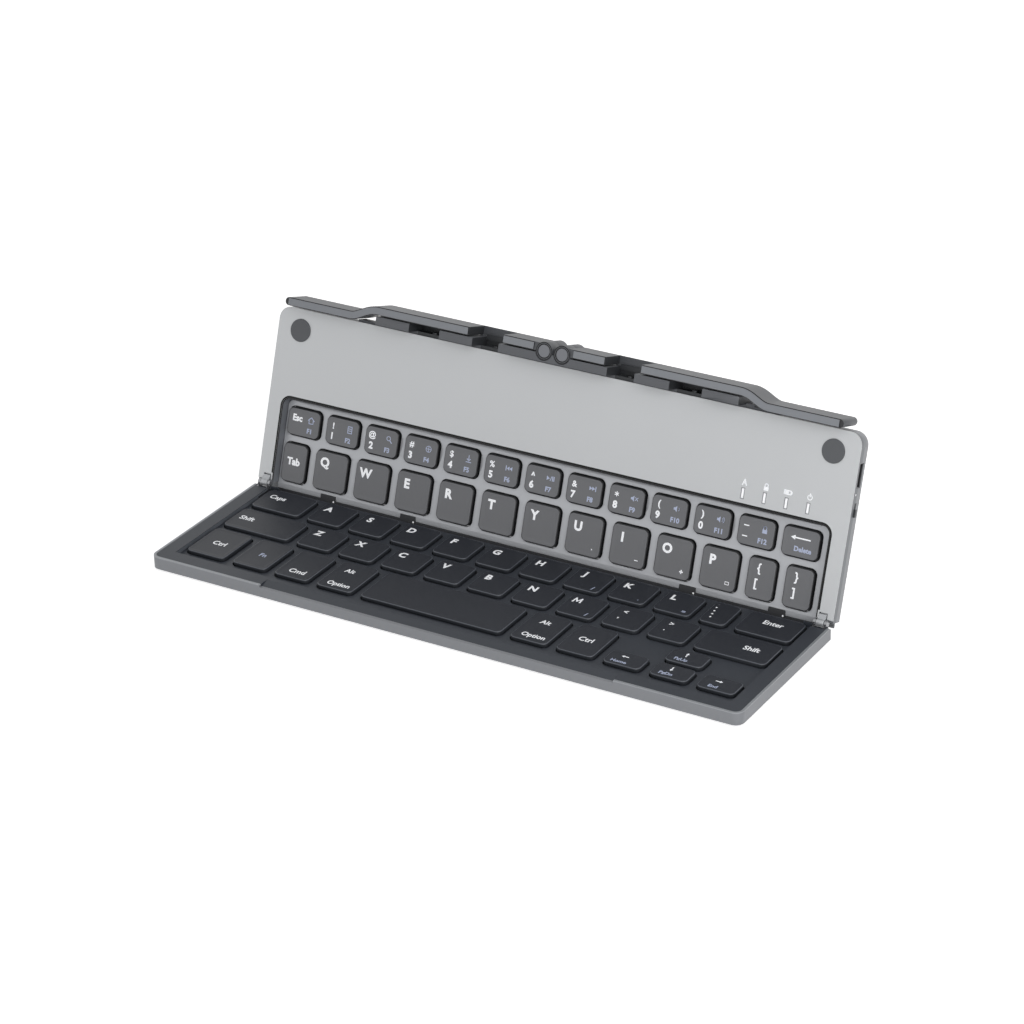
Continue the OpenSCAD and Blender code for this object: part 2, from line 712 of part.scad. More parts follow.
module battery() color([0.62, 0.64, 0.68]) turned_up()
    translate([battery_x, battery_v + battery[1] / 2, 0])
        plate([upper_floor, upper_floor + battery[2]]) round_rect(battery[0], battery[1], 1.5);

module main_board() color([0.10, 0.32, 0.18]) turned_up() {
    slab(board_x, board_v, [board_z - board_t, board_z]);
    for (x = [70, 76]) slab([x, x + 4], [board_v[0] + 8, board_v[0] + 14], [board_z - eps, board_z + 0.9]);
    slab([well_half - 8, well_half - 2], [switch_v - 4, switch_v + 4], [board_z - eps, board_z + 1]);
}

module usb_port() color([0.68, 0.69, 0.70]) turned_up() {
    x = [half_w - 0.3 - port_len, half_w - 0.3];
    difference() {
        slab(x, [port_v - port[0] / 2 + slip, port_v + port[0] / 2 - slip],
            [port_z - port[1] / 2 + slip, port_z + port[1] / 2 - slip]);
        slab([x[0] + 1, x[1] + 1], [port_v - port[0] / 2 + port_wall, port_v + port[0] / 2 - port_wall],
            [port_z - port[1] / 2 + port_wall, port_z + port[1] / 2 - port_wall]);
    }
    slab([x[0] + 0.5, x[1] - 1], [port_v - 3.2, port_v + 3.2], [port_z - 0.35, port_z + 0.35]);
}

module led_light_pipes() color([0.95, 0.95, 0.95]) turned_up() {
    for (x = led_xs) slab([x - led_w / 2 + slip, x + led_w / 2 - slip],
        [led_v - led_len / 2 + slip, led_v + led_len / 2 - slip], [board_z, upper_face - slip]);
    translate([half_w - 3.2, charge_led_v, switch_z + 0.9]) rotate([0, 90, 0]) cylinder(r = 0.45, h = 3.1);
}

module power_switch_knob() color([0.20, 0.20, 0.21]) turned_up() {
    from = switch_v - switch_slot[0] / 2 + 0.3;
    slab([half_w - shell_wall_t - 1.2, half_w + 0.6], [from, from + knob_len],
        [switch_z - switch_slot[1] / 2 + 0.15, switch_z + switch_slot[1] / 2 - 0.15]);
}

// ---- Stand ----

module rail_screw_holes() {
    for (s = [-1, 1], x = screw_xs) translate([s * x, rail_v + 1, screw_z])
        rotate([90, 0, 0]) cylinder(r = screw_r + pin_gap, h = rail_v + 1 - upper_depth + shell_wall_t + 2.4);
}

// Fixed rail on the rear edge: three pairs of blocks with gaps between them, and the two sockets.
module stand_rail() color([0.30, 0.31, 0.32]) turned_up() difference() {
    top = rail_v + rail_t;
    union() {
        slab([-rail_half, rail_half], [upper_depth, rail_v], [upper_base, upper_face - 0.8]);
        slab([-jog_out, jog_out], [upper_depth, rail_v - 0.4], [upper_base, upper_face - 0.8]);
        for (block = [[-tablet_slot[0] - 1.3, tablet_slot[0] + 1.3], [tablet_slot[1] - 2.1, pull_notch[0]],
                      [-pull_notch[0], -tablet_slot[1] + 2.1], [pull_notch[1], rail_half],
                      [-rail_half, -pull_notch[1]]])
            slab(block, [rail_v - eps, top], [upper_base, stand_top_z]);
        slab([-rail_half + 1, rail_half - 1], [rail_v - eps, top], [upper_base, slot_floor_z]);
        both_sides() slab([tablet_slot[0] + 1.3 - eps, tablet_slot[1] - 2.1 + eps],
            [top - 1.2, top + arm_gap + 0.3], [slot_floor_z + 0.2, slot_floor_z + 0.9]);
        both_sides() slab([tablet_slot[0] + 1.3 - eps, tablet_slot[1] - 2.1 + eps],
            [top - 1.2, top - 0.2], [slot_floor_z - eps, slot_floor_z + 0.3]);
        for (s = [-1, 1]) translate([s * pivot_x, barrel_v, upper_base])
            cylinder(r = barrel_r, h = knuckle_split_z - 0.2 - upper_base);
    }
    for (s = [-1, 1]) {
        translate([s * pivot_x, barrel_v, knuckle_split_z - 0.2]) cylinder(r = barrel_r + 0.15, h = 20);
        translate([s * pivot_x, barrel_v, upper_base - 1]) cylinder(r = stand_pin_r + pin_gap, h = 20);
    }
    rail_screw_holes();
}

module stand_screws() color([0.60, 0.60, 0.61]) turned_up() for (s = [-1, 1], x = screw_xs)
    translate([s * x, rail_v, screw_z]) rotate([90, 0, 0]) {
        cylinder(r = screw_r, h = rail_v - upper_depth + shell_wall_t + 2.2);
        translate([0, 0, -0.7]) difference() {
            cylinder(r = 1.35, h = 0.7);
            translate([-1, -0.2, -0.3]) cube([2, 0.4, 0.6]);
            translate([-0.2, -1, -0.3]) cube([0.4, 2, 0.6]);
        }
    }

module stand_pins() color([0.55, 0.56, 0.57]) turned_up() for (s = [-1, 1])
    translate([s * pivot_x, barrel_v, 0]) {
        translate([0, 0, upper_base + 0.2]) cylinder(r = stand_pin_r, h = stand_top_z - upper_base - 0.6);
        translate([0, 0, stand_top_z - 0.15 - pin_head_t]) cylinder(r = pin_head_r, h = pin_head_t);
    }

// Height of the arm's centre line at x: low over the panel edge, high over the rail.
function jog(x) = let (t = (x - (jog_out - jog_len)) / jog_len)
    t <= 0 ? 1 : t >= 1 ? 0 : (1 + cos(180 * t)) / 2;
function arm_bottom(x) = rail_v + jog(x) * (arm_v - rail_v);

// Slope of the jog, and a point of the arm at x, so far out from its lower edge and square to it.
function arm_slope(x) = (arm_bottom(x + 0.01) - arm_bottom(x - 0.01)) / 0.02;
function arm_point(x, out) = let (s = arm_slope(x), n = norm([s, 1]))
    [round(100 * (x - out * s / n)) / 100, round(100 * (arm_bottom(x) + out / n)) / 100];

// The arm seen from the front, from one x to another, with a margin on both edges.
module arm_band(from, to, margin) {
    xs = concat(from, [for (i = [0:16]) jog_out - jog_len + i * jog_len / 16], to);
    polygon(concat(
        [for (x = xs) arm_point(x, margin)],
        [for (i = [len(xs) - 1:-1:0]) arm_point(xs[i], arm_t - margin)]
    ));
}

module arm_outline() {
    arm_band([pivot_x], [arm_reach - arm_end_r], 0);
    translate([arm_reach - arm_end_r, rail_v + arm_end_r]) circle(arm_end_r);
}

// An arm: full-depth bar with a tablet slot, and a half-depth barrel on the pivot pin.
module stand_arm() {
    difference() {
        union() {
            plate([upper_base, bar_top_z]) arm_outline();
            plate([bar_top_z - eps, stand_top_z]) {
                arm_band([tablet_slot[1] + strip_margin], [arm_reach - arm_end_r], strip_margin);
                translate([strip_from, arm_v + strip_margin])
                    square([tablet_slot[0] - strip_margin - strip_from, arm_t - 2 * strip_margin]);
            }
            translate([pivot_x, barrel_v, knuckle_split_z]) cylinder(r = barrel_r, h = stand_top_z - knuckle_split_z);
        }
        translate([pivot_x, barrel_v, upper_base - 1])
            cylinder(r = barrel_r + 0.25, h = knuckle_split_z - upper_base + 1);
        translate([pivot_x, barrel_v, upper_base - 1]) cylinder(r = stand_pin_r + pin_gap, h = 20);
        translate([pivot_x, barrel_v, stand_top_z - 0.2 - pin_head_t]) cylinder(r = pin_head_r + pin_gap, h = 5);
        slab(tablet_slot, [arm_v - 1, stand_v + 1], [slot_floor_z, stand_top_z + 1]);
    }
}

module stand_arm_right() color([0.33, 0.34, 0.35]) turned_up() stand_arm();

module stand_arm_left() color([0.33, 0.34, 0.35]) turned_up() mirror([1, 0, 0]) stand_arm();

// ---- Key nodes ----

module number_row_keys() color([0.36, 0.37, 0.38]) for (k = number_keys) upper_cap(k);

module upper_side_keys() color([0.36, 0.37, 0.38]) for (k = upper_side) upper_cap(k);

module modifier_keys() color([0.21, 0.22, 0.24]) for (k = modifier_keys_list) lower_cap(k);

module arrow_and_punctuation_keys() color([0.21, 0.22, 0.24]) for (k = punctuation_list) lower_cap(k);

module space_bar() color([0.21, 0.22, 0.24]) lower_cap(space_keys[0]);

module enter_key() color([0.21, 0.22, 0.24]) lower_cap(enter_keys[0]);

lower_tray();
lower_deck();
lower_support_plate();
lower_membrane();
lower_snap_domes();
lower_feet();
hinge_brackets();
hinge_pins();
hinge_lugs();
upper_back_shell();
upper_front_panel();
upper_frame();
upper_deck();
upper_support_plate();
upper_membrane();
upper_snap_domes();
hinge_strip();
battery();
main_board();
usb_port();
led_light_pipes();
power_switch_knob();
corner_pads();
stand_rail();
stand_screws();
stand_pins();
stand_arm_left();
stand_arm_right();
number_row_keys();
upper_side_keys();
modifier_keys();
arrow_and_punctuation_keys();
space_bar();
enter_key();
for (k = q_keys) color([0.36, 0.37, 0.38]) upper_cap(k);
for (k = concat(a_keys, z_keys)) color([0.21, 0.22, 0.24]) lower_cap(k);
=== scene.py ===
import json
import math
from collections import namedtuple
from math import cos, pi, radians, sin

import bmesh
import bpy
from mathutils import Matrix, Vector


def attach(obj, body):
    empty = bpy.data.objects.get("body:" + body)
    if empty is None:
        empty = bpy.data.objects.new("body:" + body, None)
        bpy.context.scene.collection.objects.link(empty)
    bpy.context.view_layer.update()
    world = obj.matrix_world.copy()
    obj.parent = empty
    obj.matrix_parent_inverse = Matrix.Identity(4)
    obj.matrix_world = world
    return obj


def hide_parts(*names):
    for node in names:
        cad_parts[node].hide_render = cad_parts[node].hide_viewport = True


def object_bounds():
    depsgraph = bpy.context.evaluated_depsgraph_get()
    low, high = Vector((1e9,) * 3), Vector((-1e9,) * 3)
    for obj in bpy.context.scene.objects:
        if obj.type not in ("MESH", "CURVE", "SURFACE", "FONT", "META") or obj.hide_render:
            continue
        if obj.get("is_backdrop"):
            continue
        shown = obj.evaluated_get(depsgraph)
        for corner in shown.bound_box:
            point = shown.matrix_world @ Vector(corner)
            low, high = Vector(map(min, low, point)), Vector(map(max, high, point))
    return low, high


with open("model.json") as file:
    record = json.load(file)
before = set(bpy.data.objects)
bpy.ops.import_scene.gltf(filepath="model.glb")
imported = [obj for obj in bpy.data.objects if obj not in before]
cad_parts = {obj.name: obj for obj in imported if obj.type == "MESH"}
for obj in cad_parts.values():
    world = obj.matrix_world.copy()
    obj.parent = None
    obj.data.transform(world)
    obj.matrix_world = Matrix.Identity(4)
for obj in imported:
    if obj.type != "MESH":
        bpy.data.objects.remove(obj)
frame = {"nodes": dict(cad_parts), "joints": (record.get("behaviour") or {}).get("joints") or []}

cad_box = [list(c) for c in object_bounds()]
scene = bpy.context.scene
MM = 0.001

# ---------------------------------------------------------------- the two halves
# Each half is described as if it lay flat, in mm from the hinge axis: x to the right, depth away from
# the typist, and height up out of its inner face. LOWER and UPPER place that in the scene.
fold = [j for j in frame["joints"] if j["name"] == "fold_hinge"][0]
AXIS = Vector(fold["pos_m"])
TURN = radians(-fold["range_deg"][0])            # how far the upper half is turned up from flat
LOWER = Matrix.Translation(AXIS) @ Matrix.Scale(MM, 4)
UPPER = Matrix.Translation(AXIS) @ Matrix.Rotation(TURN, 4, "X") @ Matrix.Scale(MM, 4)

FACE = -0.8                  # height of the inner faces
UPPER_DECK = FACE - 3.84     # height of the key decks
LOWER_DECK = FACE - 1.8
UPPER_T = 6.0                # thickness of the upper half

# ---------------------------------------------------------------- camera
EYE = Vector((595.41, -982.41, 597.35))          # in mm from the hinge axis
AHEAD = Vector((-0.46696, 0.76028, -0.45157)).normalized()
RIGHTWARD = Vector((0.85835, 0.51247, -0.02478)).normalized()


def add_camera():
    data = bpy.data.cameras.new("camera")
    data.sensor_fit = "HORIZONTAL"
    data.sensor_width = 36.0
    data.lens = 120.77
    data.clip_start = 0.05
    data.clip_end = 50.0
    camera = bpy.data.objects.new("camera", data)
    scene.collection.objects.link(camera)
    scene.camera = camera
    up = RIGHTWARD.cross(AHEAD).normalized()
    right = AHEAD.cross(up).normalized()
    turn = Matrix((right, up, -AHEAD)).transposed().to_4x4()
    camera.matrix_world = Matrix.Translation(AXIS + EYE * MM) @ turn


add_camera()


# ---------------------------------------------------------------- shader nodes
def linear(v):
    """A screen value of 0 to 255 as linear light."""
    v = v / 255.0
    return v / 12.92 if v <= 0.04045 else ((v + 0.055) / 1.055) ** 2.4


def rgb(r, g, b):
    return (linear(r), linear(g), linear(b), 1.0)


def tint(colour, factor):
    """A colour made darker or lighter."""
    return [min(1, c * factor) for c in colour[:3]] + [1.0]


def feed(tree, node, inputs):
    """Gives inputs of a node, by name or number, a value or a link from a socket."""
    for key, value in inputs.items():
        if isinstance(value, bpy.types.NodeSocket):
            tree.links.new(value, node.inputs[key])
        else:
            node.inputs[key].default_value = value


def add_node(tree, kind, inputs, operation=None):
    made = tree.nodes.new("ShaderNode" + kind)
    if operation:
        made.operation = operation
    feed(tree, made, inputs)
    return made


def mixed(tree, factor, first, second):
    """Socket with a colour between two others."""
    mix = tree.nodes.new("ShaderNodeMix")
    mix.data_type = "RGBA"
    feed(tree, mix, {0: factor, 6: first, 7: second})
    return mix.outputs[2]


def material(name, colour, rough, metallic=0.0, *, grain, bump, vary=0.05,
             coat=0.0, stretch=(1, 1, 1), sheen=0.0, spec=0.5):
    """Plastic, metal, rubber or ink: fine grain in the bump, slow variation in colour and gloss."""
    blotch, rough_vary, bump_depth = 25.0, 0.06, 0.00005
    slow_share, fine_share = 0.6, 0.4
    made = bpy.data.materials.new(name)
    made.use_nodes = True
    tree = made.node_tree
    place = tree.nodes.new("ShaderNodeTexCoord").outputs["Object"]
    stretched = add_node(tree, "Mapping", {"Vector": place, "Scale": stretch}).outputs["Vector"]
    fine = add_node(tree, "TexNoise", {"Vector": stretched, "Scale": grain, "Detail": 3.0}).outputs["Fac"]
    slow = add_node(tree, "TexNoise", {"Vector": place, "Scale": blotch, "Detail": 4.0}).outputs["Fac"]
    fine_part = add_node(tree, "Math", {0: fine, 1: fine_share}, "MULTIPLY").outputs[0]
    tone = add_node(tree, "Math", {0: slow, 1: slow_share, 2: fine_part}, "MULTIPLY_ADD")
    tone.name = "tone"
    gloss = add_node(tree, "MapRange", {"Value": slow, "To Min": max(0.02, rough - rough_vary),
                                        "To Max": rough + rough_vary})
    relief = add_node(tree, "Bump", {"Height": fine, "Strength": bump, "Distance": bump_depth})
    base = mixed(tree, tone.outputs[0], tint(colour, 1 - vary), tint(colour, 1 + vary))
    feed(tree, tree.nodes["Principled BSDF"], {
        "Base Color": base, "Metallic": metallic, "Roughness": gloss.outputs[0],
        "Specular IOR Level": spec, "Coat Weight": coat, "Sheen Weight": sheen,
        "Normal": relief.outputs["Normal"]})
    return made


DIRECTIONS = {"across": (1, 0, 0), "depth": (0, 1, 0), "height": (0, 0, 1)}


def distance(tree, direction, half):
    """Socket with the distance in mm from the hinge axis, along one direction of a half."""
    axis = (half.to_3x3().normalized() @ Vector(direction)) / MM
    place = tree.nodes.new("ShaderNodeTexCoord").outputs["Object"]
    offset = add_node(tree, "VectorMath", {0: place, 1: AXIS}, "SUBTRACT").outputs["Vector"]
    return add_node(tree, "VectorMath", {0: offset, 1: axis}, "DOT_PRODUCT").outputs["Value"]


def zone(name, colour, half, **limits):
    """Gives a material another colour between limits in mm along a half; across is counted from the
    middle to either side."""
    tree = LOOKS[name].node_tree
    inside = None
    for key, (low, high) in limits.items():
        along = distance(tree, DIRECTIONS[key], half)
        if key == "across":
            along = add_node(tree, "Math", {0: along}, "ABSOLUTE").outputs[0]
        middle, reach = (low + high) / 2, (high - low) / 2
        near = add_node(tree, "Math", {0: along, 1: middle, 2: reach}, "COMPARE").outputs[0]
        if inside is not None:
            near = add_node(tree, "Math", {0: inside, 1: near}, "MULTIPLY").outputs[0]
        inside = near
    base = tree.nodes["Principled BSDF"].inputs["Base Color"]
    old = base.links[0].from_socket
    new = mixed(tree, tree.nodes["tone"].outputs[0], tint(colour, 0.95), tint(colour, 1.05))
    tree.links.new(mixed(tree, inside, old, new), base)


# ---------------------------------------------------------------- materials
LOOKS = {
    "panel": material("silver_panel", rgb(199, 201, 203), 0.42, 0.30, grain=3200, bump=0.10, vary=0.025),
    "deck_silver": material("deck_silver", rgb(184, 186, 190), 0.42, 0.35, grain=3200, bump=0.10, vary=0.025),
    "shell": material("grey_shell", rgb(140, 142, 145), 0.42, 0.4, grain=2800, bump=0.10, vary=0.03),
    "tray": material("grey_tray", rgb(126, 128, 132), 0.42, 0.4, grain=2800, bump=0.10, vary=0.03),
    "deck": material("black_deck", rgb(50, 54, 61), 0.46, spec=0.42, grain=2200, bump=0.25, vary=0.06),
    "frame": material("dark_frame", rgb(118, 121, 127), 0.5, grain=2200, bump=0.2, vary=0.05),
    "knob": material("switch_knob", rgb(48, 49, 52), 0.5, grain=2200, bump=0.2, vary=0.05),
    "strip": material("dark_strip", rgb(34, 35, 38), 0.5, grain=2200, bump=0.2, vary=0.05),
    # The caps of both halves are the same dark plastic. The upper caps are painted much lighter: painted
    # light and reflection on the upright half. Their rolled edge is painted dark and their sides near black:
    # painted shade.
    "cap_up": material("upper_cap", rgb(110, 111, 114), 0.48, grain=2600, bump=0.22, vary=0.04),
    "cap_low": material("lower_cap", rgb(36, 39, 46), 0.44, spec=0.38, grain=2600, bump=0.25, vary=0.05),
    "cap_up_edge": material("upper_cap_edge", rgb(34, 35, 38), 0.4, grain=2600, bump=0.1, vary=0.05),
    "cap_up_side": material("upper_cap_side", rgb(16, 17, 19), 0.5, grain=2000, bump=0.2, vary=0.05),
    # The lower caps' rolled edge is painted lighter: a painted highlight. Their sides are a little lighter
    # than their tops: painted light that lifts the shade between the keys.
    "cap_low_edge": material("lower_cap_edge", rgb(80, 84, 92), 0.35, grain=2600, bump=0.1, vary=0.05),
    "cap_low_side": material("lower_cap_side", rgb(46, 49, 54), 0.45, grain=2000, bump=0.2, vary=0.05),
    "white_ink": material("white_ink", rgb(244, 246, 250), 0.45, grain=1500, bump=0.1, vary=0.03),
    "blue_ink": material("blue_ink", rgb(184, 193, 218), 0.45, grain=1500, bump=0.1, vary=0.05),
    "steel": material("spring_steel", rgb(170, 171, 174), 0.32, 0.9, grain=1800, bump=0.12,
                      stretch=(0.05, 1, 1)),
    "pin": material("pin_steel", rgb(150, 151, 154), 0.25, 0.9, grain=1800, bump=0.1, stretch=(0.08, 1, 1)),
    "lug": material("lug_metal", rgb(172, 174, 177), 0.34, 0.5, grain=2600, bump=0.12),
    # The two membranes are one material painted two ways: near black under the upper keys, painted shade in
    # the gaps there, and mid grey under the lower keys, painted light that lifts the shade between them.
    "membrane": material("membrane", rgb(34, 36, 37), 0.35, grain=900, bump=0.05),
    "low_membrane": material("low_membrane", rgb(56, 58, 62), 0.35, grain=900, bump=0.05),
    "rubber": material("black_rubber", rgb(38, 38, 40), 0.75, grain=1500, bump=0.35, vary=0.08, sheen=0.1),
    "pad": material("pad_rubber", rgb(88, 90, 93), 0.7, grain=1500, bump=0.3, vary=0.05, sheen=0.1),
    "stand": material("stand_plastic", rgb(74, 76, 80), 0.45, grain=1800, bump=0.25, vary=0.05),
    "rail": material("rail_plastic", rgb(88, 90, 94), 0.45, grain=1800, bump=0.25, vary=0.05),
    "battery": material("battery_foil", rgb(170, 172, 178), 0.35, 0.8, grain=600, bump=0.4),
    "board": material("board", rgb(28, 92, 56), 0.35, grain=500, bump=0.15, coat=0.3),
    "port": material("port_steel", rgb(112, 113, 116), 0.32, 0.9, grain=2200, bump=0.1, stretch=(1, 0.1, 1)),
    "light": material("light_pipe", rgb(240, 241, 244), 0.3, grain=900, bump=0.05, vary=0.02),
    "shade_outline": material("light_shade_outline", rgb(112, 114, 118), 0.5, grain=1500, bump=0.1),
    "ring": material("pivot_ring", rgb(8, 8, 9), 0.6, grain=1500, bump=0.1, spec=0.25),
    # dark screws, darkened so that none shows a bright spot in the slots
    "screw": material("dark_screw", rgb(46, 47, 49), 0.35, 0.7, grain=1800, bump=0.1),
    "barrel_pin": material("barrel_pin", rgb(120, 122, 127), 0.4, 0.3, grain=2200, bump=0.1),
}

SLOT_WALLS = (23.3, 34.9, 49.4, 63, 78)          # how far from the middle the rail's upright walls stand
ARM_ENDS = (22, 37)                              # and the arms' end faces at the slots
WALL = 0.06                                      # a wall is caught this far to either side of its plane

zone("frame", rgb(9, 9, 10), UPPER, height=(FACE - 0.16, 0))            # painted shade: the rim round the key well is painted near black for the dark line round the well
zone("deck_silver", rgb(24, 25, 27), UPPER,
     height=(UPPER_DECK - 0.76, UPPER_DECK - 0.08), depth=(0.6, 40))    # painted shade on the walls of the key openings
zone("stand", rgb(34, 35, 38), UPPER, height=(5.2, 5.65), across=(8.3, 120))         # painted shade in the step round the strips
zone("stand", rgb(130, 133, 138), UPPER, height=(5.65, 6.5), across=(8.3, 118.5))    # pale strips
# Painted shade: the arms' end faces at the slots, the rail's upright walls and the insides of its slots are
# painted darker.
for x in ARM_ENDS:
    zone("stand", rgb(40, 42, 45), UPPER, across=(x - WALL, x + WALL), height=(-6.75, 5.3))
for x in SLOT_WALLS:
    zone("rail", rgb(44, 46, 49), UPPER, across=(x - WALL, x + WALL), height=(-6.75, 5.6))
zone("rail", rgb(40, 42, 45), UPPER, across=(23.36, 34.84), height=(-6.7, 5.9))      # painted shade inside the slots
zone("rail", rgb(46, 48, 51), UPPER, across=(49.46, 62.94), height=(-6.7, 5.9))
zone("panel", rgb(116, 118, 122), UPPER, height=(-4.2, -1.12))                       # skirt under the face
zone("deck", rgb(98, 102, 109), LOWER, across=(118.5, 118.7), height=(-2.5, -1.0))   # painted light: the sides of the recess are painted lighter, as if lit
zone("tray", rgb(150, 153, 157), LOWER, height=(-1.12, -0.7))                        # painted highlight along the top edge of the rim

# The pipes are lit, and their glowing material also paints the glints on the hinge strip; the white ink gets
# a little painted glow that keeps the small lettering crisp.
for name, strength in (("light", 0.25), ("white_ink", 0.16)):
    tree = LOOKS[name].node_tree
    feed(tree, tree.nodes["Principled BSDF"], {"Emission Color": (1, 1, 1, 1), "Emission Strength": strength})

# ---------------------------------------------------------------- keys
# A key is the opening that its cap stands in: middle, width and depth, in mm on its half.
Key = namedtuple("Key", "body name x y width depth")

PITCH = 19.0
KEY_W, KEY_D = 16.0, 16.3                        # letter keys
NUMBER_W, NUMBER_D = 15.8, 11.8
BOTTOM_D = 21.6
SEMICOLON_W = 11.5
LEFT, UPPER_RIGHT, LOWER_RIGHT = -117.4, 115.0, 117.4    # ends of the rows
EDGE, ROW_WEB, SIDE_WEB = 1.3, 2.4, 3.0          # hinge to first row, row to row, key to key
FIRST_Q, FIRST_A, FIRST_Z = -94.4, -83.4, -75.6  # middles of those three keys
BOTTOM_ENDS = [-99.4, -80.4, -61.4, -41.9, 22.4, 41.6, 60.8]


def to_twentieth(x):
    """Rounds down to a twentieth of a mm."""
    return math.floor(20 * x + 0.01) / 20


def letters(names, first, y):
    """A row of letter keys, each on a body of its own."""
    return [Key("key_" + c, c, first + PITCH * i, y, KEY_W, KEY_D) for i, c in enumerate(names)]


def between(body, name, left, right, y, depth=KEY_D):
    """A key given by its left and right sides."""
    return Key(body, name, (left + right) / 2, y, right - left, depth)


def bottom(name, i, body="modifier_keys"):
    """The key of the bottom row that ends at BOTTOM_ENDS[i]."""
    left = BOTTOM_ENDS[i - 1] + SIDE_WEB if i else LEFT
    return between(body, name, left, BOTTOM_ENDS[i], bottom_y, BOTTOM_D)


q_y = EDGE + KEY_D / 2
number_y = EDGE + KEY_D + ROW_WEB + NUMBER_D / 2
number_pitch = to_twentieth((UPPER_RIGHT - LEFT - NUMBER_W) / 12)
q_right = FIRST_Q + 9 * PITCH + KEY_W / 2
bracket_w = to_twentieth((UPPER_RIGHT - q_right - 2 * SIDE_WEB) / 2)
number_names = ["esc", *"1234567890-", "delete"]
number_keys = [Key("number_row_keys", name, LEFT + NUMBER_W / 2 + i * number_pitch, number_y,
                   NUMBER_W, NUMBER_D) for i, name in enumerate(number_names)]
q_keys = letters("qwertyuiop", FIRST_Q, q_y)
side_keys = [
    between("upper_side_keys", "tab", LEFT, FIRST_Q - KEY_W / 2 - SIDE_WEB, q_y),
    between("upper_side_keys", "bracket_left", q_right + SIDE_WEB, q_right + SIDE_WEB + bracket_w, q_y),
    between("upper_side_keys", "bracket_right", UPPER_RIGHT - bracket_w, UPPER_RIGHT, q_y)]

a_y = -EDGE - KEY_D / 2
z_y = a_y - KEY_D - ROW_WEB
bottom_back = z_y - KEY_D / 2 - ROW_WEB
bottom_y = bottom_back - BOTTOM_D / 2
a_right = FIRST_A + 8 * PITCH + KEY_W / 2
dot_x = FIRST_Z + 8 * PITCH
arrow_w = to_twentieth((LOWER_RIGHT - BOTTOM_ENDS[-1] - 3 * SIDE_WEB) / 3)
arrow_d = to_twentieth((BOTTOM_D - ROW_WEB / 2) / 2)
arrow_y = bottom_back - BOTTOM_D + arrow_d / 2
arrow_x = [BOTTOM_ENDS[-1] + SIDE_WEB + arrow_w / 2 + i * (arrow_w + SIDE_WEB) for i in range(3)]
letter_keys = letters("asdfghjkl", FIRST_A, a_y) + letters("zxcvbnm", FIRST_Z, z_y)
modifiers = [
    between("modifier_keys", "caps", LEFT, FIRST_A - KEY_W / 2 - SIDE_WEB, a_y),
    between("modifier_keys", "shift_left", LEFT, FIRST_Z - KEY_W / 2 - SIDE_WEB, z_y),
    between("modifier_keys", "shift_right", dot_x + KEY_W / 2 + SIDE_WEB, LOWER_RIGHT, z_y),
    bottom("ctrl_left", 0), bottom("fn", 1), bottom("cmd", 2), bottom("option", 3),
    bottom("alt", 5), bottom("ctrl_right", 6)]
punctuation = [Key("arrow_and_punctuation_keys", *row) for row in (
    ("semicolon", a_right + SIDE_WEB + SEMICOLON_W / 2, a_y, SEMICOLON_W, KEY_D),
    ("comma", dot_x - PITCH, z_y, KEY_W, KEY_D),
    ("dot", dot_x, z_y, KEY_W, KEY_D),
    ("arrow_left", arrow_x[0], arrow_y, arrow_w, arrow_d),
    ("arrow_down", arrow_x[1], arrow_y, arrow_w, arrow_d),
    ("arrow_up", arrow_x[1], bottom_back - arrow_d / 2, arrow_w, arrow_d),
    ("arrow_right", arrow_x[2], arrow_y, arrow_w, arrow_d))]
space = bottom("space", 4, "space_bar")
enter = between("enter_key", "enter", a_right + 2 * SIDE_WEB + SEMICOLON_W, LOWER_RIGHT, a_y)

upper_keys = number_keys + side_keys + q_keys
lower_keys = modifiers + punctuation + [space, enter] + letter_keys
KEYS = {key.name: key for key in upper_keys + lower_keys}

# ---------------------------------------------------------------- keycaps
CAP_GAP = 0.45               # between a cap and its opening
CAP_RISE = 1.5               # of a cap's top above its deck
CAP_R = 2.15                 # corner radius
CAP_WALL = 0.9               # thickness of a cap's sides
CAP_ROLL, ROLL_STEPS = 0.42, 6                   # rolled top edge
CAP_CHAMFER = 0.06
DISH, DISH_RUN, DISH_STEPS = 0.10, 1.6, 4        # depth of the hollow in the top, and width of its slope
PLATE_T, MEMBRANE_T, SHELL_T, TRAVEL = 0.25, 0.15, 0.7, 1.1    # under the upper caps
UPPER_SKIRT = FACE - UPPER_T + SHELL_T + PLATE_T + MEMBRANE_T + TRAVEL + CAP_CHAMFER
LOWER_SKIRT = LOWER_DECK - 0.4
TOP_SLOT, SIDE_SLOT, EDGE_SLOT = 0, 1, 2         # a cap's materials


def rounded_rectangle(width, depth, r, steps=6):
    points = []
    for sx, sy, start in ((1, 1, 0), (-1, 1, 90), (-1, -1, 180), (1, -1, 270)):
        for i in range(steps + 1):
            a = radians(start + 90 * i / steps)
            points.append((sx * (width / 2 - r) + r * cos(a), sy * (depth / 2 - r) + r * sin(a)))
    return points


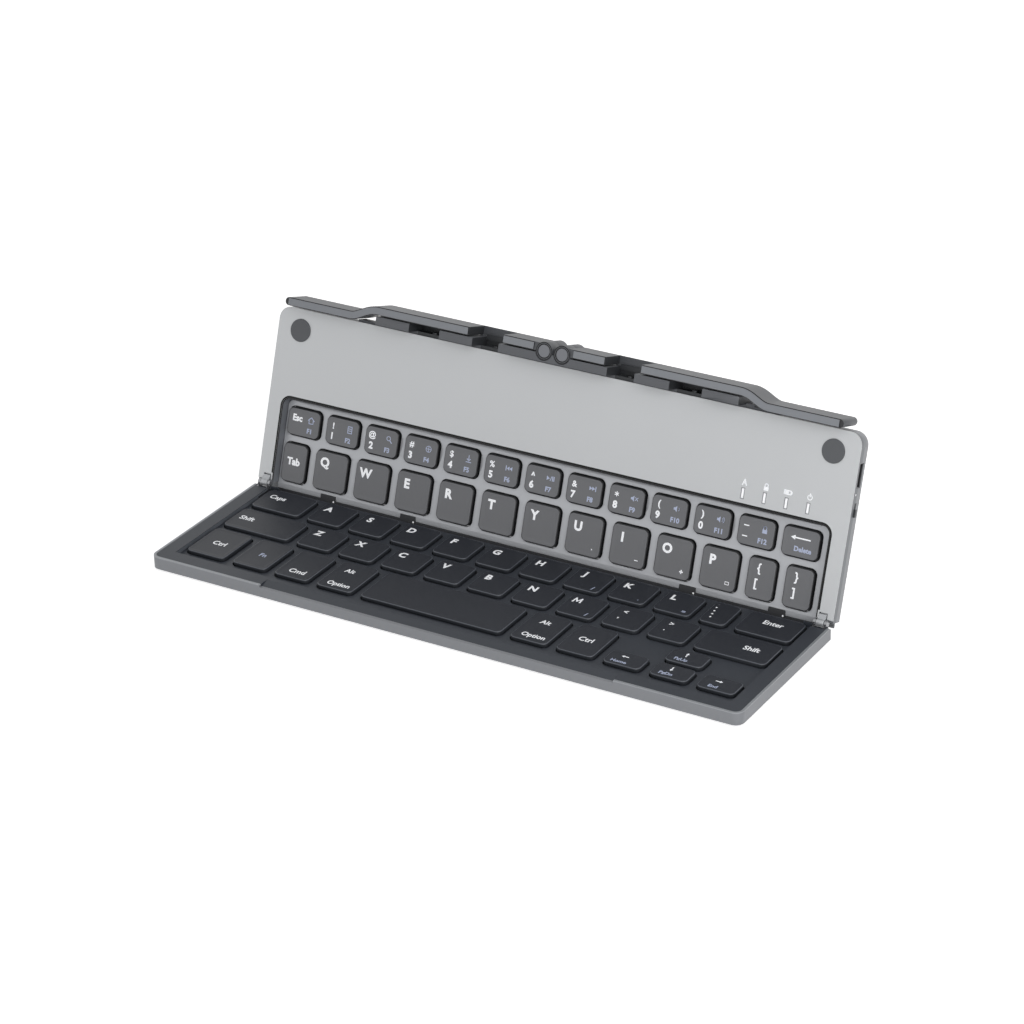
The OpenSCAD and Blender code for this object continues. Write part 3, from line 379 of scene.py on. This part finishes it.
def cap_rings(top, skirt):
    """Outlines of a cap from inside its skirt to the middle of its top: inset, height, material."""
    rings = [(CAP_WALL, skirt + CAP_WALL, SIDE_SLOT), (CAP_WALL, skirt, SIDE_SLOT),
             (CAP_CHAMFER, skirt, SIDE_SLOT), (0, skirt + CAP_CHAMFER, SIDE_SLOT),
             (0, top - CAP_ROLL, SIDE_SLOT)]
    for i in range(1, ROLL_STEPS + 1):
        a = radians(90 * i / ROLL_STEPS)
        # the middle of the rolled edge takes the edge material: painted shade on the upper caps, a painted
        # highlight on the lower ones
        slot = SIDE_SLOT if i < ROLL_STEPS / 2 else EDGE_SLOT if i < ROLL_STEPS else TOP_SLOT
        rings.append((CAP_ROLL * (1 - cos(a)), top - CAP_ROLL * (1 - sin(a)), slot))
    for i in range(1, DISH_STEPS + 1):
        t = i / DISH_STEPS
        rings.append((CAP_ROLL + DISH_RUN * t, top - DISH * t * t * (3 - 2 * t), TOP_SLOT))
    return rings


def new_piece(name, bm, place, looks):
    """Turns a bmesh in mm on a half into an object of the scene."""
    bmesh.ops.transform(bm, matrix=place, verts=bm.verts)
    mesh = bpy.data.meshes.new(name)
    bm.to_mesh(mesh)
    bm.free()
    for look in looks:
        mesh.materials.append(LOOKS[look])
    piece = bpy.data.objects.new(name, mesh)
    scene.collection.objects.link(piece)
    return piece


def keycaps(name, keys, top, skirt, place, looks):
    """Caps with a rolled top edge, a shallow dish and a hollow underside, as one mesh."""
    bm = bmesh.new()
    for key in keys:
        below = None
        for inset, z, slot in cap_rings(top, skirt):
            width, depth = (s - 2 * (CAP_GAP + inset) for s in (key.width, key.depth))
            outline = rounded_rectangle(width, depth, CAP_R - inset)
            level = [bm.verts.new((key.x + px, key.y + py, z)) for px, py in outline]
            if below:
                for i in range(len(level)):
                    j = (i + 1) % len(level)
                    side = bm.faces.new((below[i], below[j], level[j], level[i]))
                    side.material_index = slot
                    side.smooth = True
            else:
                bm.faces.new(level).material_index = SIDE_SLOT
            below = level
        middle = bm.faces.new(below)
        middle.material_index = TOP_SLOT
        middle.smooth = True
    bmesh.ops.recalc_face_normals(bm, faces=bm.faces)
    return new_piece(name, bm, place, looks)


# ---------------------------------------------------------------- flat marks: (points, faces) in mm
CAPITAL = 0.7                # height of the built-in font's capitals at size 1


def text(words, size, bold, squeeze=1.0):
    """The letters of a legend about their middle, size being the height of a capital."""
    curve = bpy.data.curves.new("legend", "FONT")
    curve.body = words
    curve.size = size / CAPITAL
    curve.offset = bold
    curve.resolution_u = 3
    curve.fill_mode = "BOTH"
    written = bpy.data.objects.new("legend", curve)
    scene.collection.objects.link(written)
    shown = written.evaluated_get(bpy.context.evaluated_depsgraph_get())
    mesh = bpy.data.meshes.new_from_object(shown)
    points = [(v.co.x * squeeze, v.co.y) for v in mesh.vertices]
    faces = [tuple(p.vertices) for p in mesh.polygons]
    bpy.data.objects.remove(written)
    bpy.data.curves.remove(curve)
    bpy.data.meshes.remove(mesh)
    xs, ys = zip(*points)
    x, y = (min(xs) + max(xs)) / 2, (min(ys) + max(ys)) / 2
    return [(px - x, py - y) for px, py in points], faces


def stroke(path, width):
    """A bar along each step of a path."""
    points, faces = [], []
    for (ax, ay), (bx, by) in zip(path, path[1:]):
        length = math.hypot(bx - ax, by - ay)
        ex, ey = (bx - ax) / length * width / 2, (by - ay) / length * width / 2
        k = len(points)
        points += [(ax - ex - ey, ay - ey + ex), (ax - ex + ey, ay - ey - ex),
                   (bx + ex + ey, by + ey - ex), (bx + ex - ey, by + ey + ex)]
        faces.append((k, k + 1, k + 2, k + 3))
    return points, faces


def arc(x, y, r, a0, a1, step, ry=None):
    """Points round an arc in degrees; ry flattens it."""
    return [(x + r * cos(radians(a)), y + (ry or r) * sin(radians(a))) for a in range(a0, a1, step)]


def polygon(*points):
    """One flat face."""
    return list(points), [tuple(range(len(points)))]


def circle(r, sides, x=0.0, y=0.0):
    angles = [2 * pi * i / sides for i in range(sides)]
    return [(x + r * cos(a), y + r * sin(a)) for a in angles]


def disc(r, sides):
    return polygon(*circle(r, sides))


def ring(r, hole, sides, x=0.0, y=0.0):
    following = [(i + 1) % sides for i in range(sides)]
    faces = [(i, j, sides + j, sides + i) for i, j in enumerate(following)]
    return circle(r, sides, x, y) + circle(hole, sides, x, y), faces


def box_outline(width, height):
    x, y = width / 2, height / 2
    return [(-x, y), (x, y), (x, -y), (-x, -y), (-x, y)]


def turned(shape, degrees):
    """A mark turned about (0, 0)."""
    c, s = cos(radians(degrees)), sin(radians(degrees))
    return [(x * c - y * s, x * s + y * c) for x, y in shape[0]], shape[1]


def icon(kind, size=1.0, weight=1.0):
    """A small generic icon about (0, 0), about 2.4 mm tall at size 1."""
    def bar(width, *path):
        return stroke(path, width * weight)

    speaker = polygon((-1.4, 0.4), (-1.4, -0.4), (-0.9, -0.4), (-0.2, -1.0), (-0.2, 1.0), (-0.9, 0.4))
    near_wave, far_wave = (bar(0.2, *arc(0.1, 0, r, -45, 46, 15)) for r in (0.6, 1.15))
    arrow = [bar(0.34, (-1.1, 0), (0.7, 0)), polygon((1.3, 0), (0.3, 0.62), (0.3, -0.62))]
    shapes = {
        "star": [turned(bar(0.34, (-0.8, 0), (0.8, 0)), a) for a in (30, 90, 150)],
        "home": [bar(0.24, (-1.2, 0), (0, 1.1), (1.2, 0)),
                 bar(0.24, (-0.85, 0), (-0.85, -1.1), (0.85, -1.1), (0.85, 0))],
        "page": [bar(0.24, *box_outline(1.6, 2.3)), bar(0.22, (-0.4, 0.4), (0.4, 0.4)),
                 bar(0.22, (-0.4, -0.3), (0.4, -0.3))],
        "search": [ring(0.85, 0.6, 20, -0.2, 0.3), bar(0.28, (0.45, -0.35), (1.1, -1.05))],
        "globe": [ring(1.15, 0.92, 24), bar(0.2, (0, -1.05), (0, 1.05)), bar(0.2, (-1.05, 0), (1.05, 0))],
        "download": [bar(0.24, (0, 1.1), (0, -0.5)), bar(0.24, (-0.6, -0.1), (0, -0.75), (0.6, -0.1)),
                     bar(0.22, (-0.9, -1.15), (0.9, -1.15))],
        "previous": [bar(0.26, (-1.3, 0.7), (-1.3, -0.7)), polygon((-1.05, 0), (0, 0.7), (0, -0.7)),
                     polygon((0.05, 0), (1.1, 0.7), (1.1, -0.7))],
        "play": [polygon((-1.5, 0.75), (-0.3, 0), (-1.5, -0.75)), bar(0.2, (-0.1, -0.7), (0.35, 0.7)),
                 bar(0.28, (0.75, 0.65), (0.75, -0.65)), bar(0.28, (1.3, 0.65), (1.3, -0.65))],
        "next": [polygon((-1.1, 0.7), (0, 0), (-1.1, -0.7)), polygon((-0.05, 0.7), (1.05, 0), (-0.05, -0.7)),
                 bar(0.26, (1.3, 0.7), (1.3, -0.7))],
        "mute": [speaker, bar(0.2, (0.3, 0.5), (1.2, -0.5)), bar(0.2, (0.3, -0.5), (1.2, 0.5))],
        "quiet": [speaker, near_wave],
        "loud": [speaker, near_wave, far_wave],
        "lock": [polygon((-0.85, -1.15), (0.85, -1.15), (0.85, 0.1), (-0.85, 0.1)),
                 bar(0.22, (-0.55, 0.1), *arc(0, 0.7, 0.55, 180, -1, -20, 0.45), (0.55, 0.1))],
        "back": [bar(0.34, (-1.6, 0), (3.4, 0)), polygon((-3.0, 0), (-1.5, 0.75), (-1.5, -0.75))],
        "right": arrow,
        "up": [turned(shape, 90) for shape in arrow],
        "left": [turned(shape, 180) for shape in arrow],
        "down": [turned(shape, 270) for shape in arrow],
        "capitals": [bar(0.24, (-0.75, -0.9), (0, 1.0), (0.75, -0.9)),
                     bar(0.2, (-0.45, -0.25), (0.45, -0.25))],
        "cell": [bar(0.24, (-1.3, 0.6), (1.1, 0.6), (1.1, -0.6), (-1.3, -0.6), (-1.3, 0.6)),
                 bar(0.24, (1.4, 0.25), (1.4, -0.25)),
                 polygon((-1.0, 0.32), (0.2, 0.32), (0.2, -0.32), (-1.0, -0.32))],
        "power": [ring(0.95, 0.68, 24), bar(0.26, (0, 0.35), (0, 1.15))],
        "box": [bar(0.22, *box_outline(1.5, 1.0))],
    }[kind]
    points, faces = [], []
    for shape_points, shape_faces in shapes:
        k = len(points)
        points += [(x * size, y * size) for x, y in shape_points]
        faces += [tuple(i + k for i in face) for face in shape_faces]
    return points, faces


INK_T, THIN_T = 0.02, 0.015                      # thickness of ink, and of the painted shade bands round the key well and round the lights
SINK = 0.004                                     # how far both sink into what they are printed on


def print_marks(name, marks, plane, place, look, body, thick=INK_T):
    """Flat marks, each a (points, faces), x and y, printed as one thin layer that rides on a body."""
    bm = bmesh.new()
    for (points, faces), x, y in marks:
        verts = [bm.verts.new((px + x, py + y, plane)) for px, py in points]
        for face in faces:
            bm.faces.new([verts[i] for i in face])
    bmesh.ops.remove_doubles(bm, verts=bm.verts, dist=1e-5)
    bmesh.ops.recalc_face_normals(bm, faces=bm.faces)
    for face in bm.faces:
        if face.normal.z < 0:
            face.normal_flip()
    for made in bmesh.ops.extrude_face_region(bm, geom=list(bm.faces))["geom"]:
        if isinstance(made, bmesh.types.BMVert):
            made.co.z += thick
    bmesh.ops.recalc_face_normals(bm, faces=bm.faces)
    layer = new_piece(name, bm, place, [look])
    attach(layer, body)
    return layer


# ---------------------------------------------------------------- legends
LEGENDS = {"white": {}, "blue": {}}              # for each ink, the marks of each body


def legend(key, mark, at, ink="white"):
    """Puts a mark on a key, at (x, y) from its middle."""
    LEGENDS[ink].setdefault(key.body, []).append((mark, key.x + at[0], key.y + at[1]))


# On the number row: a sign over the digit at the left, and an icon over its F number at the right
SIGNS = "!@#$%^&*()_"
ICONS = ("home", "page", "search", "globe", "download", "previous", "play", "next", "mute", "quiet", "loud",
         "lock")
dash = stroke([(-0.75, 0), (0.95, 0)], 0.42)
DRAWN = {"*": icon("star"), "_": dash, "-": dash}        # signs made from strokes instead of the font
BUSY = "@$#&%"                                           # signs that clog if they are as bold as the rest

legend(KEYS["esc"], text("Esc", 2.5, 0.15, 0.95), (-3.0, 1.6))
for key, sign in zip(number_keys[1:], SIGNS):
    digit = key.name
    legend(key, DRAWN.get(sign) or text(sign, 2.3, 0.08 if sign in BUSY else 0.13), (-4.3, 1.9))
    legend(key, DRAWN.get(digit) or text(digit, 2.6, 0.11 if digit == "1" else 0.16), (-4.5, -2.1))
for i, (key, kind) in enumerate(zip(number_keys, ICONS)):
    legend(key, icon(kind, 1.12, 1.3), (3.3, 1.6), "blue")
    legend(key, text("F%d" % (i + 1), 1.8, 0.10), (2.9, -2.7), "blue")
legend(KEYS["delete"], icon("back", 1.2, 1.25), (-0.6, 1.7))
legend(KEYS["delete"], text("Delete", 1.8, 0.09), (1.2, -2.3), "blue")

for key in q_keys:
    legend(key, text(key.name.upper(), 3.5, 0.22), (-3.0, 3.0))
for name, mark in (("u", text(".", 2.0, 0.10)), ("i", stroke([(-0.6, 0), (0.6, 0)], 0.32)),
                   ("o", text("+", 2.0, 0.10)), ("p", icon("box"))):
    legend(KEYS[name], mark, (4.0, -4.6))
legend(KEYS["tab"], text("Tab", 2.7, 0.18, 0.97), (-0.4, 0.6))
for name, curly, square in (("bracket_left", "{", "["), ("bracket_right", "}", "]")):
    legend(KEYS[name], text(curly, 3.0, 0.13), (-1.2, 3.6))
    legend(KEYS[name], text(square, 3.0, 0.13), (-1.7, -2.2))

# The font's own M tangles when it is thickened.
bold_m = stroke([(-1.5, -1.38), (-1.15, 1.38), (0, -0.75), (1.15, 1.38), (1.5, -1.38)], 0.6)
for key in letter_keys:
    legend(key, bold_m if key.name == "m" else text(key.name.upper(), 3.3, 0.19), (-3.8, 3.3))
for name, sign in (("j", "/"), ("k", "."), ("l", "="), ("m", "/")):
    legend(KEYS[name], text(sign, 2.0, 0.09), (4.2, -4.8), "blue")

WORD_BOLD, WORD_SQUEEZE = 0.085, 0.95
for name, words, size, at in (
        ("caps", "Caps", 2.7, (-4.5, 1.9)), ("shift_left", "Shift", 2.7, (-9.0, 0.8)),
        ("shift_right", "Shift", 2.7, (5.2, 0.8)), ("ctrl_left", "Ctrl", 2.7, (0.2, -0.3)),
        ("cmd", "Cmd", 2.7, (0.2, -5.3)), ("option", "Option", 2.5, (0.2, -6.9)),
        ("option", "Alt", 2.5, (-1.6, 4.2)), ("alt", "Alt", 2.5, (-0.6, 4.4)),
        ("alt", "Option", 2.5, (0.4, -6.6)), ("ctrl_right", "Ctrl", 2.7, (-0.6, 0.3)),
        ("enter", "Enter", 2.7, (0.3, 2.2)), ("comma", "<", 2.4, (-2.9, 3.9)),
        ("comma", ",", 2.6, (-3.4, -1.4)), ("dot", ">", 2.4, (-2.9, 3.9)),
        ("dot", ".", 2.6, (-3.4, -1.4))):
    legend(KEYS[name], text(words, size, WORD_BOLD, WORD_SQUEEZE), at)
legend(KEYS["fn"], text("Fn", 2.4, WORD_BOLD, WORD_SQUEEZE), (0.3, -0.4), "blue")
for at in ((-3.8, 6.1), (-3.5, 3.7), (-3.0, 1.2), (-2.6, -1.2), (-2.2, -3.5)):       # colon over semicolon
    legend(KEYS["semicolon"], disc(0.42, 12), at)
for kind, words in (("left", "Home"), ("down", "PgDn"), ("up", "PgUp"), ("right", "End")):
    legend(KEYS["arrow_" + kind], icon(kind, 1.1, 1.25), (-1.2, 1.7))
    legend(KEYS["arrow_" + kind], text(words, 1.75, 0.07), (-1.8, -2.2), "blue")


# ---------------------------------------------------------------- caps and their legends
def add_keys(keys, top, skirt, place, look):
    """The caps of each body in place of its CAD node, with their legends."""
    bodies = {}
    for key in keys:
        bodies.setdefault(key.body, []).append(key)
    for body, own_keys in bodies.items():
        caps = keycaps("cap_" + body, own_keys, top, skirt, place, [look, look + "_side", look + "_edge"])
        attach(caps, body)
        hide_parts(body)
        for ink, marks in LEGENDS.items():
            if body in marks:
                printed = print_marks("legend_%s_%s" % (ink, body), marks[body], top - DISH - SINK, place,
                                      ink + "_ink", body)


add_keys(upper_keys, UPPER_DECK + CAP_RISE, UPPER_SKIRT, UPPER, "cap_up")
add_keys(lower_keys, LOWER_DECK + CAP_RISE, LOWER_SKIRT, LOWER, "cap_low")

# ---------------------------------------------------------------- marks on the upper half
LIGHTS = [82.3 + 8.8 * i for i in range(4)]      # x of the status lights
LIGHT_Y = 39.4
MARK_X, MARK_Y = 0.2, 4.1                        # from a light to the mark over it
light_marks = [(icon(kind, 1.1, 1.6), x + MARK_X, LIGHT_Y + MARK_Y)
               for kind, x in zip(("capitals", "lock", "cell", "power"), LIGHTS)]
print_marks("legend_status_lights", light_marks, FACE - SINK, UPPER, "white_ink", "upper_half")

WELL_HALF, WELL_TOP, WELL_BEND = 119.1, 35.15, 3.7       # upper key well: half width, top, corner radius
WELL_FOOT = 4.2                                          # where the painted shade band starts and ends
SHADE_BAND_W = 0.62
OUTLINE_W, OUTLINE_D, OUTLINE_LINE = 1.3, 4.0, 0.2             # painted shade outline round a status light


def well_edge(out, steps=8):
    """The key well's outline over its top, moved out by some mm."""
    line = [(-WELL_HALF - out, WELL_FOOT)]
    for side, first in ((-1, 180), (1, 90)):
        for i in range(steps + 1):
            a = radians(first - 90 * i / steps)
            line.append((side * (WELL_HALF - WELL_BEND) + (WELL_BEND + out) * cos(a),
                         WELL_TOP - WELL_BEND + (WELL_BEND + out) * sin(a)))
    return line + [(WELL_HALF + out, WELL_FOOT)]


# A near-black band round the key well, over the edge of the opening: painted shade for the dark line round
# the well.
inner, outer = well_edge(0.0), well_edge(SHADE_BAND_W)
count = len(inner)
shade_band = (inner + outer, [(i, i + 1, count + i + 1, count + i) for i in range(count - 1)])
print_marks("well_shade_band", [(shade_band, 0, 0)], FACE - SINK, UPPER, "ring", "upper_half", THIN_T)
# Grey outlines round the status lights: painted shade for the recess round each light.
shade_outline = stroke(box_outline(OUTLINE_W, OUTLINE_D), OUTLINE_LINE)
print_marks("status_light_shade_outlines", [(shade_outline, x, LIGHT_Y) for x in LIGHTS],
            FACE - SINK, UPPER, "shade_outline", "upper_half", THIN_T)

# ---------------------------------------------------------------- small parts of the stand and the strip
PIVOT_X, PIVOT_Y, BARREL_TOP = 3.85, 75.6, 5.8
RING_RADII = ((3.42, 3.12), (2.78, 2.46))        # outside and inside of the two dark rings on a pivot
RING_SINK = 0.016
for side, sign in (("left", -1), ("right", 1)):
    rings = [(ring(r, hole, 40), sign * PIVOT_X, PIVOT_Y) for r, hole in RING_RADII]
    print_marks("pivot_rings_" + side, rings, BARREL_TOP - RING_SINK, UPPER, "ring", "stand_arm_" + side)

TEETH = (-94.7, -57.8, 64.5, 101.4)              # x of the hinge strip's teeth
STRIP_TOP = UPPER_DECK + 0.12
GLINT_R, GLINT_X, GLINT_Y, GLINT_SINK = 0.34, 2.75, -2.1, 0.01   # a painted glint, a small glowing disc, at the lower right of each tooth
print_marks("strip_glints", [(disc(GLINT_R, 16), x + GLINT_X, GLINT_Y) for x in TEETH],
            STRIP_TOP - GLINT_SINK, UPPER, "light", "upper_half")


def boxes(name, spans, place, look, body, rounding=0.05):
    """Boxes with slightly rounded edges, given by their spans in x, depth and height."""
    bm = bmesh.new()
    for span in spans:
        for v in bmesh.ops.create_cube(bm, size=1.0)["verts"]:
            v.co = Vector([min(s) + (c + 0.5) * abs(s[1] - s[0]) for s, c in zip(span, v.co)])
    bmesh.ops.bevel(bm, geom=list(bm.edges), offset=rounding, segments=2, affect="EDGES", clamp_overlap=True)
    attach(new_piece(name, bm, place, [look]), body)


def mirrored(low, high):
    """A span in x on the left and the same on the right."""
    return [(sign * low, sign * high) for sign in (-1, 1)]


# Lips that close the chinks at the ends of the stand's slots
LIP_DEPTH, LIP_HEIGHT = (74.62, 75.1), (-6.75, -6.05)
lip_spans = [(x, LIP_DEPTH, LIP_HEIGHT) for x in mirrored(20.6, 23.7) + mirrored(34.8, 38.5)]
boxes("slot_lips", lip_spans, UPPER, "rail", "upper_half")

# The stepped right end of the rail
boxes("rail_ends", [((77.9, 81.5), (71.05, 72.1), (-6.7, -0.9))], UPPER, "rail", "upper_half")

# The two ends of the lower recess, along the hinge
END_DEPTH, END_HEIGHT = (-0.85, -0.32), (-2.65, -0.81)
end_spans = [(x, END_DEPTH, END_HEIGHT) for x in mirrored(114.6, 118.65)]
boxes("recess_ends", end_spans, LOWER, "deck", "lower_half")

# ---------------------------------------------------------------- CAD nodes
NODE_MATERIALS = {
    "lower_tray": "tray", "lower_deck": "deck", "lower_support_plate": "steel",
    "lower_membrane": "low_membrane", "lower_snap_domes": "steel", "lower_feet": "rubber",
    "hinge_brackets": "pin", "hinge_pins": "pin", "hinge_lugs": "lug",
    "upper_back_shell": "shell", "upper_front_panel": "panel", "upper_frame": "frame",
    "upper_deck": "deck_silver", "upper_support_plate": "steel", "upper_membrane": "membrane",
    "upper_snap_domes": "steel", "hinge_strip": "strip", "battery": "battery", "main_board": "board",
    "usb_port": "port", "led_light_pipes": "light", "power_switch_knob": "knob", "corner_pads": "pad",
    "stand_rail": "rail", "stand_screws": "screw", "stand_pins": "barrel_pin",
    "stand_arm_left": "stand", "stand_arm_right": "stand"}
EDGE_WIDTHS = {                                  # mm of rounding on the sharp edges
    "upper_front_panel": 0.25, "upper_back_shell": 0.45, "lower_tray": 0.3, "lower_deck": 0.25,
    "stand_arm_left": 0.3, "stand_arm_right": 0.3, "stand_rail": 0.25, "corner_pads": 0.25,
    "upper_deck": 0.12, "hinge_lugs": 0.2, "lower_feet": 0.3}


def soften(node, width, merge):
    """Rounds the sharp edges of a CAD node. Merging its flat faces first keeps slivers from showing as
    seams on a large plain face."""
    node.modifiers.new("weld", "WELD").merge_threshold = 2e-6
    if merge:
        flat = node.modifiers.new("flat", "DECIMATE")
        flat.decimate_type = "DISSOLVE"
        flat.angle_limit = radians(0.1)
    bevel = node.modifiers.new("edge", "BEVEL")
    bevel.width = width * MM
    bevel.segments = 2
    bevel.limit_method = "ANGLE"
    bevel.angle_limit = radians(35)
    bevel.miter_outer = "MITER_ARC"


for name, look in NODE_MATERIALS.items():
    slots = frame["nodes"][name].data.materials
    slots.clear()
    slots.append(LOOKS[look])
for name, width in EDGE_WIDTHS.items():
    soften(frame["nodes"][name], width, merge=name == "upper_front_panel")


# ---------------------------------------------------------------- studio
def seen_directly(tree):
    """1 for what the camera sees, straight or in gloss or glass, and 0 for what lights the object."""
    rays = tree.nodes.new("ShaderNodeLightPath")
    total = rays.outputs["Is Camera Ray"]
    for kind in ("Is Glossy Ray", "Is Transmission Ray"):
        either = add_node(tree, "Math", {0: total, 1: rays.outputs[kind]}, "ADD")
        either.use_clamp = True
        total = either.outputs[0]
    return total


def floor_material():
    """A pale floor that is lit up to white where it is seen, but keeps the object's shadow."""
    made = bpy.data.materials.new("floor")
    made.use_nodes = True
    tree = made.node_tree
    tree.nodes.clear()
    noise = add_node(tree, "TexNoise", {"Scale": 6.0}).outputs["Fac"]
    grey = add_node(tree, "MapRange", {"Value": noise, "To Min": 0.79, "To Max": 0.81}).outputs[0]
    colour = add_node(tree, "CombineColor", {"Red": grey, "Green": grey, "Blue": grey}).outputs[0]
    plain = add_node(tree, "BsdfDiffuse", {"Color": colour}).outputs[0]
    glow = add_node(tree, "Emission", {"Color": (1, 1, 1, 1), "Strength": 0.72}).outputs[0]
    lit = add_node(tree, "AddShader", {0: plain, 1: glow}).outputs[0]
    shown = add_node(tree, "MixShader", {0: seen_directly(tree), 1: plain, 2: lit}).outputs[0]
    add_node(tree, "OutputMaterial", {"Surface": shown})
    return made


def add_floor():
    bm = bmesh.new()
    bmesh.ops.create_grid(bm, x_segments=8, y_segments=8, size=4.0)
    mesh = bpy.data.meshes.new("floor")
    bm.to_mesh(mesh)
    bm.free()
    mesh.materials.append(floor_material())
    floor = bpy.data.objects.new("floor", mesh)
    scene.collection.objects.link(floor)
    floor.location.z = -0.00004                  # just clear of the feet
    floor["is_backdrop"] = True


def add_world():
    world = bpy.data.worlds.new("studio")
    scene.world = world
    world.use_nodes = True
    tree = world.node_tree
    soft = tree.nodes["Background"]
    feed(tree, soft, {"Color": (1, 1, 1, 1), "Strength": 0.40})
    white = add_node(tree, "Background", {"Color": (1, 1, 1, 1), "Strength": 1.0}).outputs[0]
    shown = add_node(tree, "MixShader", {0: seen_directly(tree), 1: soft.outputs[0], 2: white}).outputs[0]
    feed(tree, tree.nodes["World Output"], {"Surface": shown})


def add_light(name, place, aim, size, power):
    data = bpy.data.lights.new(name, "AREA")
    data.energy = power
    data.size = size
    light = bpy.data.objects.new(name, data)
    scene.collection.objects.link(light)
    light.location = place
    light.rotation_euler = (Vector(aim) - Vector(place)).to_track_quat("-Z", "Y").to_euler()


add_floor()
add_world()
add_light("key_light", (0.50, -0.48, 0.44), (0.02, 0, 0.03), 0.8, 4.0)
add_light("fill_light", (-1.3, -0.9, 0.9), (0, 0, 0.03), 1.2, 1.2)
add_light("back_light", (0.3, 1.5, 0.9), (0, 0, 0.03), 1.4, 3.0)

scene.view_settings.view_transform = "Standard"

bpy.context.view_layer.update()
size = {"cad": cad_box, "visual": [list(c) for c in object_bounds()]}
